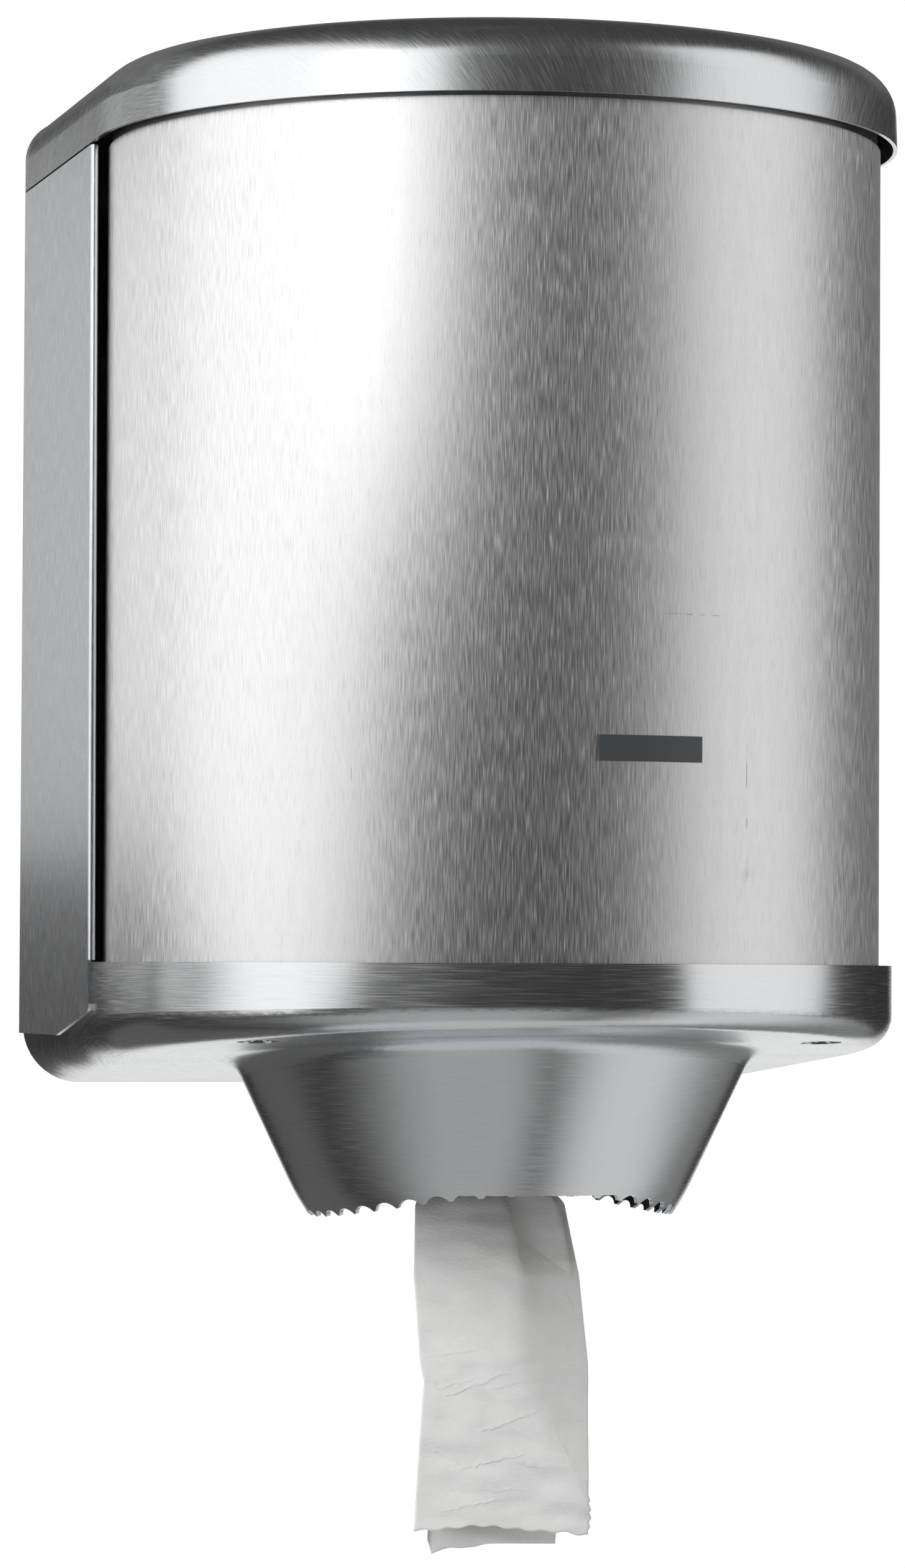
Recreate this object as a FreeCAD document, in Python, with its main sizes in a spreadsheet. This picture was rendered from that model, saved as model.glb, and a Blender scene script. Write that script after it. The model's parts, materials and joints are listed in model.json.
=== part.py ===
"""Centre-pull paper towel dispenser for a wall, as a parametric document of separate pieces.

Millimetres. X points to the right, Y into the wall and Z up. The origin is the middle of the four
wall holes, on the rear face of the back plate. A cylindrical door turns about the vertical axis of
the paper roll, between a drawn cap above it and a drawn bowl with a funnel below it.
"""
import FreeCAD, Part
import math
import os
import re
import Sketcher
from FreeCAD import Vector

# Driving sizes, in millimetres and degrees. Heights named "above rim" or "below rim" count from
# the bowl's rim, and radii count from the axis of the roll and the door.
SIZES = {
    # Housing
    "half_width": 120.0,
    "axis_past_width": 1.0,
    "rim_below_mount": 120.0,
    "lip_above_rim": 242.0,
    "lip_gap": 0.6,
    "back_sheet": 1.2,
    # Back plate
    "flange_setback": 6.0,
    "hem_depth": 12.0,
    "tab_below_rim": 22.0,
    "tab_nose_below_rim": 14.5,
    "tab_chamfer_run": 51.0,
    "tab_nose_round": 3.0,
    "wall_hole_radius": 3.0,
    "wall_hole_across": 140.0,
    "wall_hole_up": 170.0,
    "top_tab_width": 52.0,
    "top_tab_inset": 4.2,
    "top_tab_depth": 14.0,
    # Cap
    "cap_height": 22.4,
    "cap_sheet": 1.2,
    "cap_corner": 13.0,
    "cap_lean": 0.8,
    # Bowl and funnel
    "bowl_sheet": 1.2,
    "bottom_below_rim": 27.4,
    "bottom_slope": 4.75,
    "front_corner": 6.0,
    "rear_corner": 17.9,
    "cone_half_angle": 25.2,
    "cone_end_radius": 59.7,
    "cone_end_below_rim": 64.0,
    "mouth_radius": 53.6,
    "mouth_below_rim": 74.4,
    "mouth_rise": 7.8,
    "funnel_blend": 9.0,
    "tooth_count": 42,
    "tooth_depth": 1.7,
    "tooth_land": 0.9,
    "dimple_radius": 6.0,
    "dimple_depth": 1.3,
    # Door
    "door_setback": 5.0,
    "door_sheet": 0.9,
    "door_half_angle": 102.0,
    "door_below_rim": 8.0,
    "running_gap": 0.3,
    "hoop_sheet": 1.5,
    "hoop_overlap": 10.0,
    "upper_hoop_height": 12.0,
    "lower_hoop_height": 16.0,
    "hoop_below_door": 3.7,
    "foot_width": 4.7,
    "edge_bar_thickness": 3.0,
    "edge_bar_angle": 5.0,
    "glide_angle": 14.0,
    "glide_height": 1.0,
    "track_sheet": 1.5,
    "track_drop": 17.0,
    "track_bend_clearance": 1.8,
    "track_flat_margin": 1.0,
    # Name plate place
    "plate_width_angle": 15.7,
    "plate_height": 7.3,
    "plate_above_rim": 60.0,
    "plate_thickness": 0.5,
    # Roll platform and its fasteners
    "platform_below_rim": 4.8,
    "platform_sheet": 1.2,
    "hoop_foot_clearance": 1.0,
    "ledge_width": 5.2,
    "fastener_inset": 6.1,
    "front_fastener_angle": 55.0,
    "rear_fastener_angle": 23.0,
    "fastener_shank": 2.0,
    "fastener_head": 3.2,
    "head_height": 1.2,
    "sleeve_radius": 4.2,
    "fit_gap": 0.05,
    "bracket_width": 16.0,
    "bracket_sheet": 1.5,
    "bracket_leg": 18.0,
    "rear_nut_flat": 7.0,
    "rear_nut_height": 2.4,
    # Feed nozzle
    "nozzle_spigot_radius": 38.0,
    "nozzle_wall": 1.8,
    "nozzle_flange_radius": 47.0,
    "nozzle_flange_height": 2.0,
    "nozzle_neck_radius": 14.6,
    "nozzle_cone_height": 38.0,
    "nozzle_neck_height": 10.0,
    "nozzle_slot": 1.6,
    "nozzle_screw_place_radius": 42.5,
    "nozzle_screw_shank": 1.4,
    "nozzle_screw_head": 2.8,
    # Paper
    "roll_clearance": 1.1,
    "roll_bore": 30.0,
    "roll_headroom": 62.7,
    "twist_gap": 3.8,
    "peel_top_above_rim": 56.7,
    "web_width": 54.0,
    "web_end_below_rim": 166.0,
    "under_layer_drop": 9.5,
    "under_layer_width": 46.0,
    "under_layer_depth": 2.2,
    # Side seals
    "seal_gap": 1.4,
    "seal_depth": 12.0,
    # Stops and lock
    "cam_overlap": 4.0,
    "lock_head_radius": 10.5,
    "lock_head_height": 1.5,
    "lock_barrel_radius": 8.0,
    "lock_barrel_drop": 14.4,
    "lock_nut_flat": 20.0,
    "lock_nut_height": 3.0,
    "lock_nut_clearance": 0.45,
    "plug_radius": 5.0,
    "plug_head_radius": 6.5,
    "plug_head_height": 1.0,
    "key_slot_width": 1.3,
    "key_slot_length": 7.0,
    "key_slot_depth": 8.0,
    "cam_thickness": 2.5,
    "cam_half_width": 4.0,
    "cam_reach": 14.0,
    "cam_hub": 5.5,
    "cam_spigot": 3.0,
    "cam_screw_shank": 1.5,
    "cam_screw_head": 3.4,
    "cam_screw_length": 7.0,
    "stop_tab_width": 4.0,
    "stop_tab_height": 8.0,
    "stop_tab_length": 11.0,
    "stop_pad_thickness": 1.5,
    "stop_post_thickness": 3.0,
    "stop_tab_from_middle": 4.3,
}

doc = FreeCAD.newDocument("dispenser")
sheet = doc.addObject("Spreadsheet::Sheet", "sizes")
for row, (alias, value) in enumerate(SIZES.items(), start=1):
    sheet.set(f"A{row}", alias)
    sheet.set(f"B{row}", str(value))
    sheet.setAlias(f"B{row}", alias)
doc.recompute()


def formula(words):
    """Turn a formula in cell names into an expression that the document can bind."""
    def in_sheet(match):
        """A word with the sheet's name before it where the sheet holds it."""
        word = match.group()
        return f"sizes.{word}" if word in SIZES else word

    return re.sub(r"[a-z][a-z_]+", in_sheet, str(words))


def mm(words):
    """The number that a cell, or a formula in cell names, gives."""
    result = sheet.evalExpression(formula(words))
    return float(getattr(result, "Value", result))


def bind(thing, **rules):
    """Bind properties of an object to formulas. Two underscores stand for a dot."""
    for name, rule in rules.items():
        thing.setExpression(name.replace("__", "."), formula(rule))
    return thing


# How near two places must be to count as one, in millimetres.
CLOSE = 0.01

# Places and radii that several pieces share, as formulas on the sheet.
AXIS_TO_WALL = "(half_width + axis_past_width)"
AXIS_Y = f"(0 - {AXIS_TO_WALL})"
RIM = "(0 - rim_below_mount)"
LIP = f"({RIM} + lip_above_rim)"
CAP_TOP = f"({LIP} + cap_height)"
CAP_UNDER = f"({CAP_TOP} - cap_sheet)"
DOOR_TOP = f"({LIP} - lip_gap)"
DOOR_FOOT = f"({RIM} - door_below_rim)"
PLATE_FACE = "(0 - back_sheet)"
BOWL_RADIUS = "(half_width - back_sheet)"
CAP_FLAT = "(half_width - cap_lean - cap_corner)"
DOOR_RADIUS = "(half_width - door_setback)"
HOOP_OUTER = f"({DOOR_RADIUS} - door_sheet)"
GROOVE_OUTER = f"({HOOP_OUTER} - hoop_sheet)"
TRACK_OUTER = f"({GROOVE_OUTER} - running_gap)"
TRACK_INNER = f"({TRACK_OUTER} - track_sheet)"
GROOVE_INNER = f"({TRACK_INNER} - running_gap)"
HOOP_INNER = f"({GROOVE_INNER} - hoop_sheet)"
TRACK_FOOT = f"({CAP_UNDER} - track_drop)"
TRACK_UNDER = f"({CAP_UNDER} - track_sheet)"
HOOP_FLOOR = f"({TRACK_FOOT} - running_gap - hoop_sheet)"
PLATFORM_TOP = f"({RIM} - platform_below_rim)"
PLATFORM_UNDER = f"({PLATFORM_TOP} - platform_sheet)"
HOOP_FOOT = f"({DOOR_FOOT} - hoop_below_door)"
GLIDE_FOOT = f"({HOOP_FOOT} - glide_height)"
LEDGE_TOP = f"({GLIDE_FOOT} - running_gap)"
LEDGE_UNDER = f"({LEDGE_TOP} - platform_sheet)"
SHANK_HOLE = "(fastener_shank + fit_gap)"
PLATFORM_RADIUS = f"({HOOP_OUTER} - foot_width - hoop_foot_clearance)"
FASTENER_CIRCLE = f"({PLATFORM_RADIUS} - fastener_inset)"
TAB_INNER = f"({HOOP_INNER} - stop_tab_length)"
LOCK_RADIUS = f"({TAB_INNER} - cam_reach + cam_overlap)"
TRACK_FLAT = f"({CAP_FLAT} - track_flat_margin)"
FLANGE_INNER = f"({LOCK_RADIUS} + lock_nut_flat / 2 / cos(30 deg) + lock_nut_clearance)"


def block(name, x, y, z):
    """A box between two formulas on each axis."""
    box = doc.addObject("Part::Box", name)
    bind(box, Length=f"({x[1]}) - ({x[0]})", Width=f"({y[1]}) - ({y[0]})", Height=f"({z[1]}) - ({z[0]})")
    return bind(box, Placement__Base__x=x[0], Placement__Base__y=y[0], Placement__Base__z=z[0])


def rod(name, radius, z, x="0", y=AXIS_Y):
    """An upright cylinder between two heights, about the door's axis unless placed."""
    cylinder = doc.addObject("Part::Cylinder", name)
    bind(cylinder, Radius=radius, Height=f"({z[1]}) - ({z[0]})")
    return bind(cylinder, Placement__Base__x=x, Placement__Base__y=y, Placement__Base__z=z[0])


def cut(name, base, tool):
    """The base less the tool."""
    result = doc.addObject("Part::Cut", name)
    result.Base = base
    result.Tool = tool
    return result


def fuse(name, shapes):
    """Several shapes as one solid."""
    result = doc.addObject("Part::MultiFuse", name)
    result.Shapes = shapes
    result.Refine = True
    return result


def common(name, shapes):
    """What several shapes share."""
    result = doc.addObject("Part::MultiCommon", name)
    result.Shapes = shapes
    return result


def group(name, shapes):
    """Several separate solids as one piece."""
    result = doc.addObject("Part::Compound", name)
    result.Links = shapes
    return result


def ring(name, inner, outer, z):
    """A full ring about the door's axis."""
    return cut(name, rod(f"{name}_out", outer, z), rod(f"{name}_in", inner, (f"{z[0]} - 1", f"{z[1]} + 1")))


def arc_ring(name, inner, outer, z, middle, half_angle):
    """A part of a ring. Its middle is an angle from the front, positive towards +X."""
    outside = rod(f"{name}_out", outer, z)
    inside = rod(f"{name}_in", inner, (f"{z[0]} - 1", f"{z[1]} + 1"))
    bind(outside, Angle=f"2 * ({half_angle})", Placement__Rotation__Angle=f"270 + {middle} - ({half_angle})")
    return cut(name, outside, inside)


def polar(radius, angle):
    """X and Y formulas of a point at an angle from the front, positive towards +X."""
    return f"({radius}) * sin(({angle}) * 1 deg)", f"({AXIS_Y} - ({radius}) * cos(({angle}) * 1 deg))"


def new_body(name):
    """An empty body of the document."""
    return doc.addObject("PartDesign::Body", name)


def plane_of(body, role):
    """One of a body's own origin planes, found by its role."""
    return [feature for feature in body.Origin.OriginFeatures if feature.Role == role][0]


def new_sketch(body, name, role, offset="0"):
    """A sketch on an origin plane of its body, moved along the plane's normal."""
    sketch = body.newObject("Sketcher::SketchObject", name)
    sketch.AttachmentSupport = [(plane_of(body, role), "")]
    sketch.MapMode = "FlatFace"
    bind(sketch, AttachmentOffset__Base__z=offset)
    return sketch


def draw_polygon(sketch, corners):
    """Close a polygon through corners given as pairs of formulas, with a bound place for each."""
    first = sketch.GeometryCount
    count = len(corners)
    places = [(mm(across), mm(up)) for across, up in corners]
    for index in range(count):
        start = Vector(*places[index], 0)
        end = Vector(*places[(index + 1) % count], 0)
        sketch.addGeometry(Part.LineSegment(start, end), False)
    for index in range(count):
        line = first + index
        following = first + (index + 1) % count
        sketch.addConstraint(Sketcher.Constraint("Coincident", line, 2, following, 1))
    for index, (across, up) in enumerate(corners):
        line = first + index
        at_x, at_y = places[index]
        for kind, rule, place in (("DistanceX", across, at_x), ("DistanceY", up, at_y)):
            number = sketch.addConstraint(Sketcher.Constraint(kind, -1, 1, line, 1, place))
            sketch.setExpression(f"Constraints[{number}]", formula(rule))


def draw_circle(sketch, across, up, radius):
    """A circle whose centre and radius are bound to formulas."""
    place = (mm(across), mm(up))
    size = mm(radius)
    circle = sketch.addGeometry(Part.Circle(Vector(*place, 0), Vector(0, 0, 1), size), False)
    for kind, rule, value in (("DistanceX", across, place[0]), ("DistanceY", up, place[1])):
        number = sketch.addConstraint(Sketcher.Constraint(kind, -1, 1, circle, 3, value))
        sketch.setExpression(f"Constraints[{number}]", formula(rule))
    number = sketch.addConstraint(Sketcher.Constraint("Radius", circle, size))
    sketch.setExpression(f"Constraints[{number}]", formula(radius))


def pad(body, name, role, corners, start, length, away=False):
    """Pad a polygon along its plane's normal from a start height, or against it."""
    sketch = new_sketch(body, f"{name}_outline", role, start)
    draw_polygon(sketch, corners)
    feature = body.newObject("PartDesign::Pad", name)
    feature.Profile = sketch
    feature.Reversed = away
    bind(feature, Length=length)
    return feature


def pad_round(body, name, circles, start, length):
    """Pad circles upwards from a start height."""
    sketch = new_sketch(body, f"{name}_outline", "XY_Plane", start)
    for across, up, radius in circles:
        draw_circle(sketch, across, up, radius)
    feature = body.newObject("PartDesign::Pad", name)
    feature.Profile = sketch
    bind(feature, Length=length)
    return feature


def drill(body, name, role, circles):
    """Cut round holes right through, both ways from a plane."""
    sketch = new_sketch(body, f"{name}_outline", role)
    for across, up, radius in circles:
        draw_circle(sketch, across, up, radius)
    doc.recompute()
    before = body.Shape.Volume
    feature = body.newObject("PartDesign::Pocket", name)
    feature.Profile = sketch
    feature.Type = "ThroughAll"
    feature.Midplane = True
    doc.recompute()
    if not body.Shape.Volume < before:
        raise RuntimeError(f"{name} cuts nothing")
    return feature


def round_edges(body, name, radius, chosen):
    """Fillet the edges of a body's tip that a test picks."""
    doc.recompute()
    tip = body.Tip
    picked = [f"Edge{number}" for number, edge in enumerate(tip.Shape.Edges, start=1) if chosen(edge)]
    if not picked:
        raise RuntimeError(f"{name} finds no edge")
    feature = body.newObject("PartDesign::Fillet", name)
    feature.Base = (tip, picked)
    bind(feature, Radius=radius)
    return feature


def along(edge, direction):
    """Whether an edge is straight and runs along a direction."""
    if edge.Curve.TypeId != "Part::GeomLine":
        return False
    run = edge.Vertexes[-1].Point - edge.Vertexes[0].Point
    return run.cross(direction).Length < 1e-6


def make_back_plate():
    """Panel on the wall with two forward flanges, their hems and tabs, and two tabs under the cap."""
    body = new_body("back_plate")
    slope_fall = f"({AXIS_TO_WALL} - back_sheet) * tan(bottom_slope * 1 deg)"
    bottom = f"({RIM} - bottom_below_rim - {slope_fall})"
    tab_foot = f"({RIM} - tab_below_rim)"
    fold = f"({AXIS_Y} + flange_setback + back_sheet)"
    depth = Vector(0, 1, 0)
    behind_bowl = [
        (f"0 - {BOWL_RADIUS}", bottom),
        (BOWL_RADIUS, bottom),
        (BOWL_RADIUS, RIM),
        (f"0 - {BOWL_RADIUS}", RIM),
    ]
    pad(body, "behind_bowl", "XZ_Plane", behind_bowl, "0", "back_sheet")
    rim_height = -mm("rim_below_mount")
    round_edges(body, "low_corners", "rear_corner",
                lambda edge: along(edge, depth) and edge.CenterOfMass.z < rim_height - 1)
    panel = [
        ("0 - half_width", tab_foot),
        ("half_width", tab_foot),
        ("half_width", CAP_TOP),
        ("0 - half_width", CAP_TOP),
    ]
    pad(body, "panel", "XZ_Plane", panel, "0", "back_sheet")
    round_edges(body, "top_corners", "cap_corner",
                lambda edge: along(edge, depth) and edge.CenterOfMass.z > 0)
    leaf = [
        ("0", tab_foot),
        ("0", DOOR_TOP),
        (fold, DOOR_TOP),
        (fold, f"{RIM} - tab_nose_below_rim"),
        (f"{fold} + tab_chamfer_run", tab_foot),
    ]
    for side, sign in (("left", "-1"), ("right", "1")):
        leaf_start = f"{sign} * (half_width - back_sheet / 2) - back_sheet / 2"
        pad(body, f"{side}_flange", "YZ_Plane", leaf, leaf_start, "back_sheet")
        hem_outer = f"{sign} * (half_width - back_sheet)"
        hem_inner = f"{sign} * (half_width - 2 * back_sheet)"
        hem_rear = f"{fold} + hem_depth"
        hem = [(hem_outer, fold), (hem_inner, fold), (hem_inner, hem_rear), (hem_outer, hem_rear)]
        hem_foot = f"{RIM} + lip_gap"
        pad(body, f"{side}_hem", "XY_Plane", hem, hem_foot, f"{DOOR_TOP} - ({hem_foot})")
        nose = [(hem_outer, fold, "back_sheet")]
        pad_round(body, f"{side}_hem_nose", nose, hem_foot, f"{DOOR_TOP} - ({hem_foot})")
        tab_outer = f"{sign} * ({CAP_FLAT} - top_tab_inset)"
        tab_inner = f"{sign} * ({CAP_FLAT} - top_tab_inset - top_tab_width)"
        front = f"{PLATE_FACE} - top_tab_depth"
        tab = [(tab_inner, "0"), (tab_outer, "0"), (tab_outer, front), (tab_inner, front)]
        pad(body, f"{side}_top_tab", "XY_Plane", tab, f"{CAP_UNDER} - back_sheet", "back_sheet")
    sideways = Vector(1, 0, 0)
    nose_height = -(mm("rim_below_mount") + mm("tab_nose_below_rim"))
    round_edges(body, "tab_noses", "tab_nose_round",
                lambda edge: along(edge, sideways) and abs(edge.CenterOfMass.z - nose_height) < CLOSE)
    holes = []
    for across in ("0 - wall_hole_across / 2", "wall_hole_across / 2"):
        for up in ("0 - wall_hole_up / 2", "wall_hole_up / 2"):
            holes.append((across, up, "wall_hole_radius"))
    drill(body, "wall_holes", "XZ_Plane", holes)
    drill(body, "cap_rivet_holes", "XY_Plane", [(x, y, SHANK_HOLE) for x, y in cap_rivet_places()])
    return body


def cap_rivet_places():
    """The four rivets that hold the cap on the top tabs."""
    middle = f"{CAP_FLAT} - top_tab_inset - top_tab_width / 2"
    spread = "top_tab_width / 4"
    depth = f"{PLATE_FACE} - top_tab_depth / 2"
    return [(f"{sign} * ({middle}) + ({shift}) * {spread}", depth) for sign in (-1, 1) for shift in (-1, 1)]


def make_cap():
    """Drawn cap: a half turn of its section over the front, and the same section straight to the wall."""
    body = new_body("top_cap")
    bind(body, Placement__Base__y=AXIS_Y)
    crown = "(half_width - cap_lean)"
    half = [
        ("0", CAP_TOP),
        (crown, CAP_TOP),
        ("half_width", LIP),
        ("half_width - cap_sheet", LIP),
        (f"{crown} - cap_sheet", CAP_UNDER),
        ("0", CAP_UNDER),
    ]
    sketch = new_sketch(body, "front_section", "XZ_Plane")
    draw_polygon(sketch, half)
    turn = body.newObject("PartDesign::Revolution", "front")
    turn.Profile = sketch
    turn.ReferenceAxis = (sketch, ["V_Axis"])
    turn.Angle = 180
    turn.Reversed = True
    mirrored = [(f"0 - ({x})", z) for x, z in reversed(half[1:5])]
    whole = half[1:5] + mirrored
    pad(body, "rear", "XZ_Plane", whole, "0", f"{AXIS_TO_WALL} - back_sheet", away=True)
    top = mm("lip_above_rim") + mm("cap_height") - mm("rim_below_mount")
    edge_radius = mm("half_width") - mm("cap_lean")

    def on_rim(height, radius):
        """A test for the edges of one level face that follow the cap's outline."""
        def test(edge):
            middle = edge.CenterOfMass
            box = edge.BoundBox
            level = abs(box.ZMax - height) < CLOSE and abs(box.ZMin - height) < CLOSE
            round_front = edge.Curve.TypeId == "Part::GeomCircle"
            straight_side = along(edge, Vector(0, 1, 0)) and abs(abs(middle.x) - radius) < CLOSE
            return level and (round_front or straight_side)
        return test

    round_edges(body, "outer_corner", "cap_corner", on_rim(top, edge_radius))
    inside = on_rim(top - mm("cap_sheet"), edge_radius - mm("cap_sheet"))
    round_edges(body, "inner_corner", "cap_corner - cap_sheet", inside)
    rivets = [(x, f"{y} + {AXIS_TO_WALL}", SHANK_HOLE) for x, y in cap_rivet_places()]
    lock_hole = [("0", f"0 - {LOCK_RADIUS}", "lock_barrel_radius + fit_gap")]
    drill(body, "top_holes", "XY_Plane", rivets + lock_hole)
    return body


def bowl_outline(radius, rear):
    """Edges of the bowl's plan: a straight side, two quarter turns and the other side."""
    slant = radius * math.sqrt(0.5)
    left = Vector(-radius, 0, 0)
    front = Vector(0, -radius, 0)
    right = Vector(radius, 0, 0)
    back_left = Vector(-radius, rear, 0)
    back_right = Vector(radius, rear, 0)
    return [
        Part.LineSegment(back_left, left).toShape(),
        Part.Arc(left, Vector(-slant, -slant, 0), front).toShape(),
        Part.Arc(front, Vector(slant, -slant, 0), right).toShape(),
        Part.LineSegment(right, back_right).toShape(),
        Part.LineSegment(back_right, back_left).toShape(),
    ]


def bowl_volume(name, inset, rear, top):
    """Everything inside the bowl's skin, or inside its inner face where inset is the sheet.

    The pan's floor falls towards the wall, so its corner grows from the front to the rear. The
    funnel is a cone that ends in an arc tangent to it, and blends into the floor.
    """
    radius = mm("half_width") - mm("back_sheet") - inset
    slope = math.radians(mm("bottom_slope"))
    floor = -mm("bottom_below_rim") + inset / math.cos(slope)
    reach = 2 * radius

    def floor_at(y):
        """Height of the floor at a distance behind the axis."""
        return floor - math.tan(slope) * y

    deep = floor_at(reach) - reach
    plan = Part.Face(Part.Wire(bowl_outline(radius, rear)))
    plan.translate(Vector(0, 0, deep))
    prism = plan.extrude(Vector(0, 0, top - deep))
    below = Part.makePolygon([
        Vector(-reach, -reach, floor_at(-reach)),
        Vector(-reach, reach, floor_at(reach)),
        Vector(-reach, reach, deep - 1),
        Vector(-reach, -reach, deep - 1),
        Vector(-reach, -reach, floor_at(-reach)),
    ])
    wedge = Part.Face(below).extrude(Vector(2 * reach, 0, 0))
    blank = doc.addObject("Part::Feature", f"{name}_blank")
    blank.Shape = prism.cut(wedge)
    full_length = radius + inset + mm(AXIS_TO_WALL) - mm("back_sheet")

    def corner_at(y):
        """Corner radius at a distance behind the axis, growing evenly from front to rear."""
        share = (y + radius + inset) / full_length
        return mm("front_corner") + (mm("rear_corner") - mm("front_corner")) * share - inset

    corners = []
    for number, edge in enumerate(blank.Shape.Edges, start=1):
        first = edge.Vertexes[0].Point
        last = edge.Vertexes[-1].Point
        on_floor = abs(first.z - floor_at(first.y)) < CLOSE and abs(last.z - floor_at(last.y)) < CLOSE
        at_rear = abs(first.y - rear) < CLOSE and abs(last.y - rear) < CLOSE
        if on_floor and not at_rear:
            start = edge.valueAt(edge.FirstParameter).y
            end = edge.valueAt(edge.LastParameter).y
            corners.append((number, corner_at(start), corner_at(end)))
    rounded = doc.addObject("Part::Fillet", f"{name}_rounded")
    rounded.Base = blank
    rounded.Edges = corners
    doc.recompute()
    pan = rounded.Shape

    half_angle = math.radians(mm("cone_half_angle"))
    cone_wall = inset / math.cos(half_angle)
    neck = Vector(mm("cone_end_radius"), 0, -mm("cone_end_below_rim"))
    down = Vector(-math.sin(half_angle), 0, -math.cos(half_angle))
    inward = Vector(-math.cos(half_angle), 0, math.sin(half_angle))
    mouth = Vector(mm("mouth_radius"), 0, -mm("mouth_below_rim"))
    chord = mouth - neck
    bend = chord.dot(chord) / (2 * chord.dot(inward))
    centre = neck + inward * bend
    sweep = 2 * math.atan2(chord.dot(inward), chord.dot(down))
    past_mouth = 1.25 * sweep

    def on_arc(angle):
        """Point of the funnel's end arc after turning an angle past the cone."""
        outward = inward * -math.cos(angle) + down * math.sin(angle)
        return centre + outward * (bend - inset)

    def cone_radius(height):
        """Radius of the funnel's cone at a height."""
        return neck.x - cone_wall + (height - neck.z) * math.tan(half_angle)

    cone_top = floor_at(-radius) / 2
    top_point = Vector(cone_radius(cone_top), 0, cone_top)
    lip = on_arc(past_mouth)
    profile = [
        Part.LineSegment(Vector(0, 0, cone_top), top_point).toShape(),
        Part.LineSegment(top_point, on_arc(0)).toShape(),
        Part.Arc(on_arc(0), on_arc(past_mouth / 2), lip).toShape(),
        Part.LineSegment(lip, Vector(0, 0, lip.z)).toShape(),
        Part.LineSegment(Vector(0, 0, lip.z), Vector(0, 0, cone_top)).toShape(),
    ]
    funnel = Part.Face(Part.Wire(profile)).revolve(Vector(0, 0, 0), Vector(0, 0, 1), 360)
    joined = pan.fuse(funnel)
    seam = []
    for edge in joined.Edges:
        point = edge.valueAt((edge.FirstParameter + edge.LastParameter) / 2)
        on_floor = abs(point.z - floor_at(point.y)) < CLOSE
        on_cone = abs(math.hypot(point.x, point.y) - cone_radius(point.z)) < CLOSE
        if on_floor and on_cone:
            seam.append(edge)
    if not seam:
        raise RuntimeError("the funnel meets no floor")
    return joined.makeFillet(mm("funnel_blend") + inset, seam)


def mouth_arch():
    """Radius of the arch that cuts the mouth, and the height of its axis above the rim."""
    half = mm("mouth_radius")
    rise = mm("mouth_rise")
    radius = (half * half + rise * rise) / (2 * rise)
    return radius, rise - mm("mouth_below_rim") - radius


def make_bowl():
    """Drawn bowl and funnel: an outer volume less an inner one, with an arched and scalloped mouth."""
    sheet_thickness = mm("bowl_sheet")
    rear = mm(AXIS_TO_WALL) - mm("back_sheet")
    outer = bowl_volume("bowl_outer", 0.0, rear, 0.0)
    past = 4 * sheet_thickness
    inner = bowl_volume("bowl_inner", sheet_thickness, rear + past, past)
    skin = outer.cut(inner)

    half = mm("mouth_radius")
    arch, arch_height = mouth_arch()
    arch_start = Vector(0, -2 * half, arch_height)
    skin = skin.cut(Part.makeCylinder(arch, 4 * half, arch_start, Vector(0, 1, 0)))

    count = int(mm("tooth_count"))
    pitch = 2 * math.pi * half / count
    chord = pitch - mm("tooth_land")
    depth = mm("tooth_depth")
    gullet = (chord * chord / 4 + depth * depth) / (2 * depth)
    cutters = []
    for number in range(count):
        angle = 2 * math.pi * (number + 0.5) / count
        outward = Vector(math.sin(angle), -math.cos(angle), 0)
        edge_height = arch_height + math.sqrt(arch * arch - (half * math.sin(angle)) ** 2)
        start = outward * (half - past) + Vector(0, 0, edge_height + depth - gullet)
        cutters.append(Part.makeCylinder(gullet, 2 * past, start, outward))
    skin = skin.cut(cutters)

    slope = math.tan(math.radians(mm("bottom_slope")))
    for side in (-1, 1):
        angle = math.radians(side * mm("front_fastener_angle"))
        spot = Vector(math.sin(angle), -math.cos(angle), 0) * mm(FASTENER_CIRCLE)
        outside = -mm("bottom_below_rim") - slope * spot.y
        recess_top = outside + mm("dimple_depth")
        boss_top = recess_top + sheet_thickness
        below = Vector(0, 0, outside - sheet_thickness)
        boss = Part.makeCylinder(mm("dimple_radius") + sheet_thickness, boss_top - below.z, spot + below)
        recess = Part.makeCylinder(mm("dimple_radius"), recess_top - below.z, spot + below)
        hole = Part.makeCylinder(mm("fastener_shank") + mm("fit_gap"), boss_top - below.z + 1, spot + below)
        skin = skin.fuse(boss.common(outer)).cut(recess).cut(hole)
    bowl = doc.addObject("Part::Feature", "bottom_bowl")
    bowl.Shape = skin
    bind(bowl, Placement__Base__y=AXIS_Y, Placement__Base__z=RIM)
    return bowl


def turned(name, section):
    """A body whose section, in radius and height, is turned once round the door's axis."""
    body = new_body(name)
    bind(body, Placement__Base__y=AXIS_Y)
    sketch = new_sketch(body, f"{name}_section", "XZ_Plane")
    draw_polygon(sketch, section)
    turn = body.newObject("PartDesign::Revolution", f"{name}_turn")
    turn.Profile = sketch
    turn.ReferenceAxis = (sketch, ["V_Axis"])
    turn.Angle = 360
    return body


def from_axis(radius, angle):
    """X and Y formulas of a point in a turned body, at an angle from the front."""
    return f"({radius}) * sin(({angle}) * 1 deg)", f"0 - ({radius}) * cos(({angle}) * 1 deg)"


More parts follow.
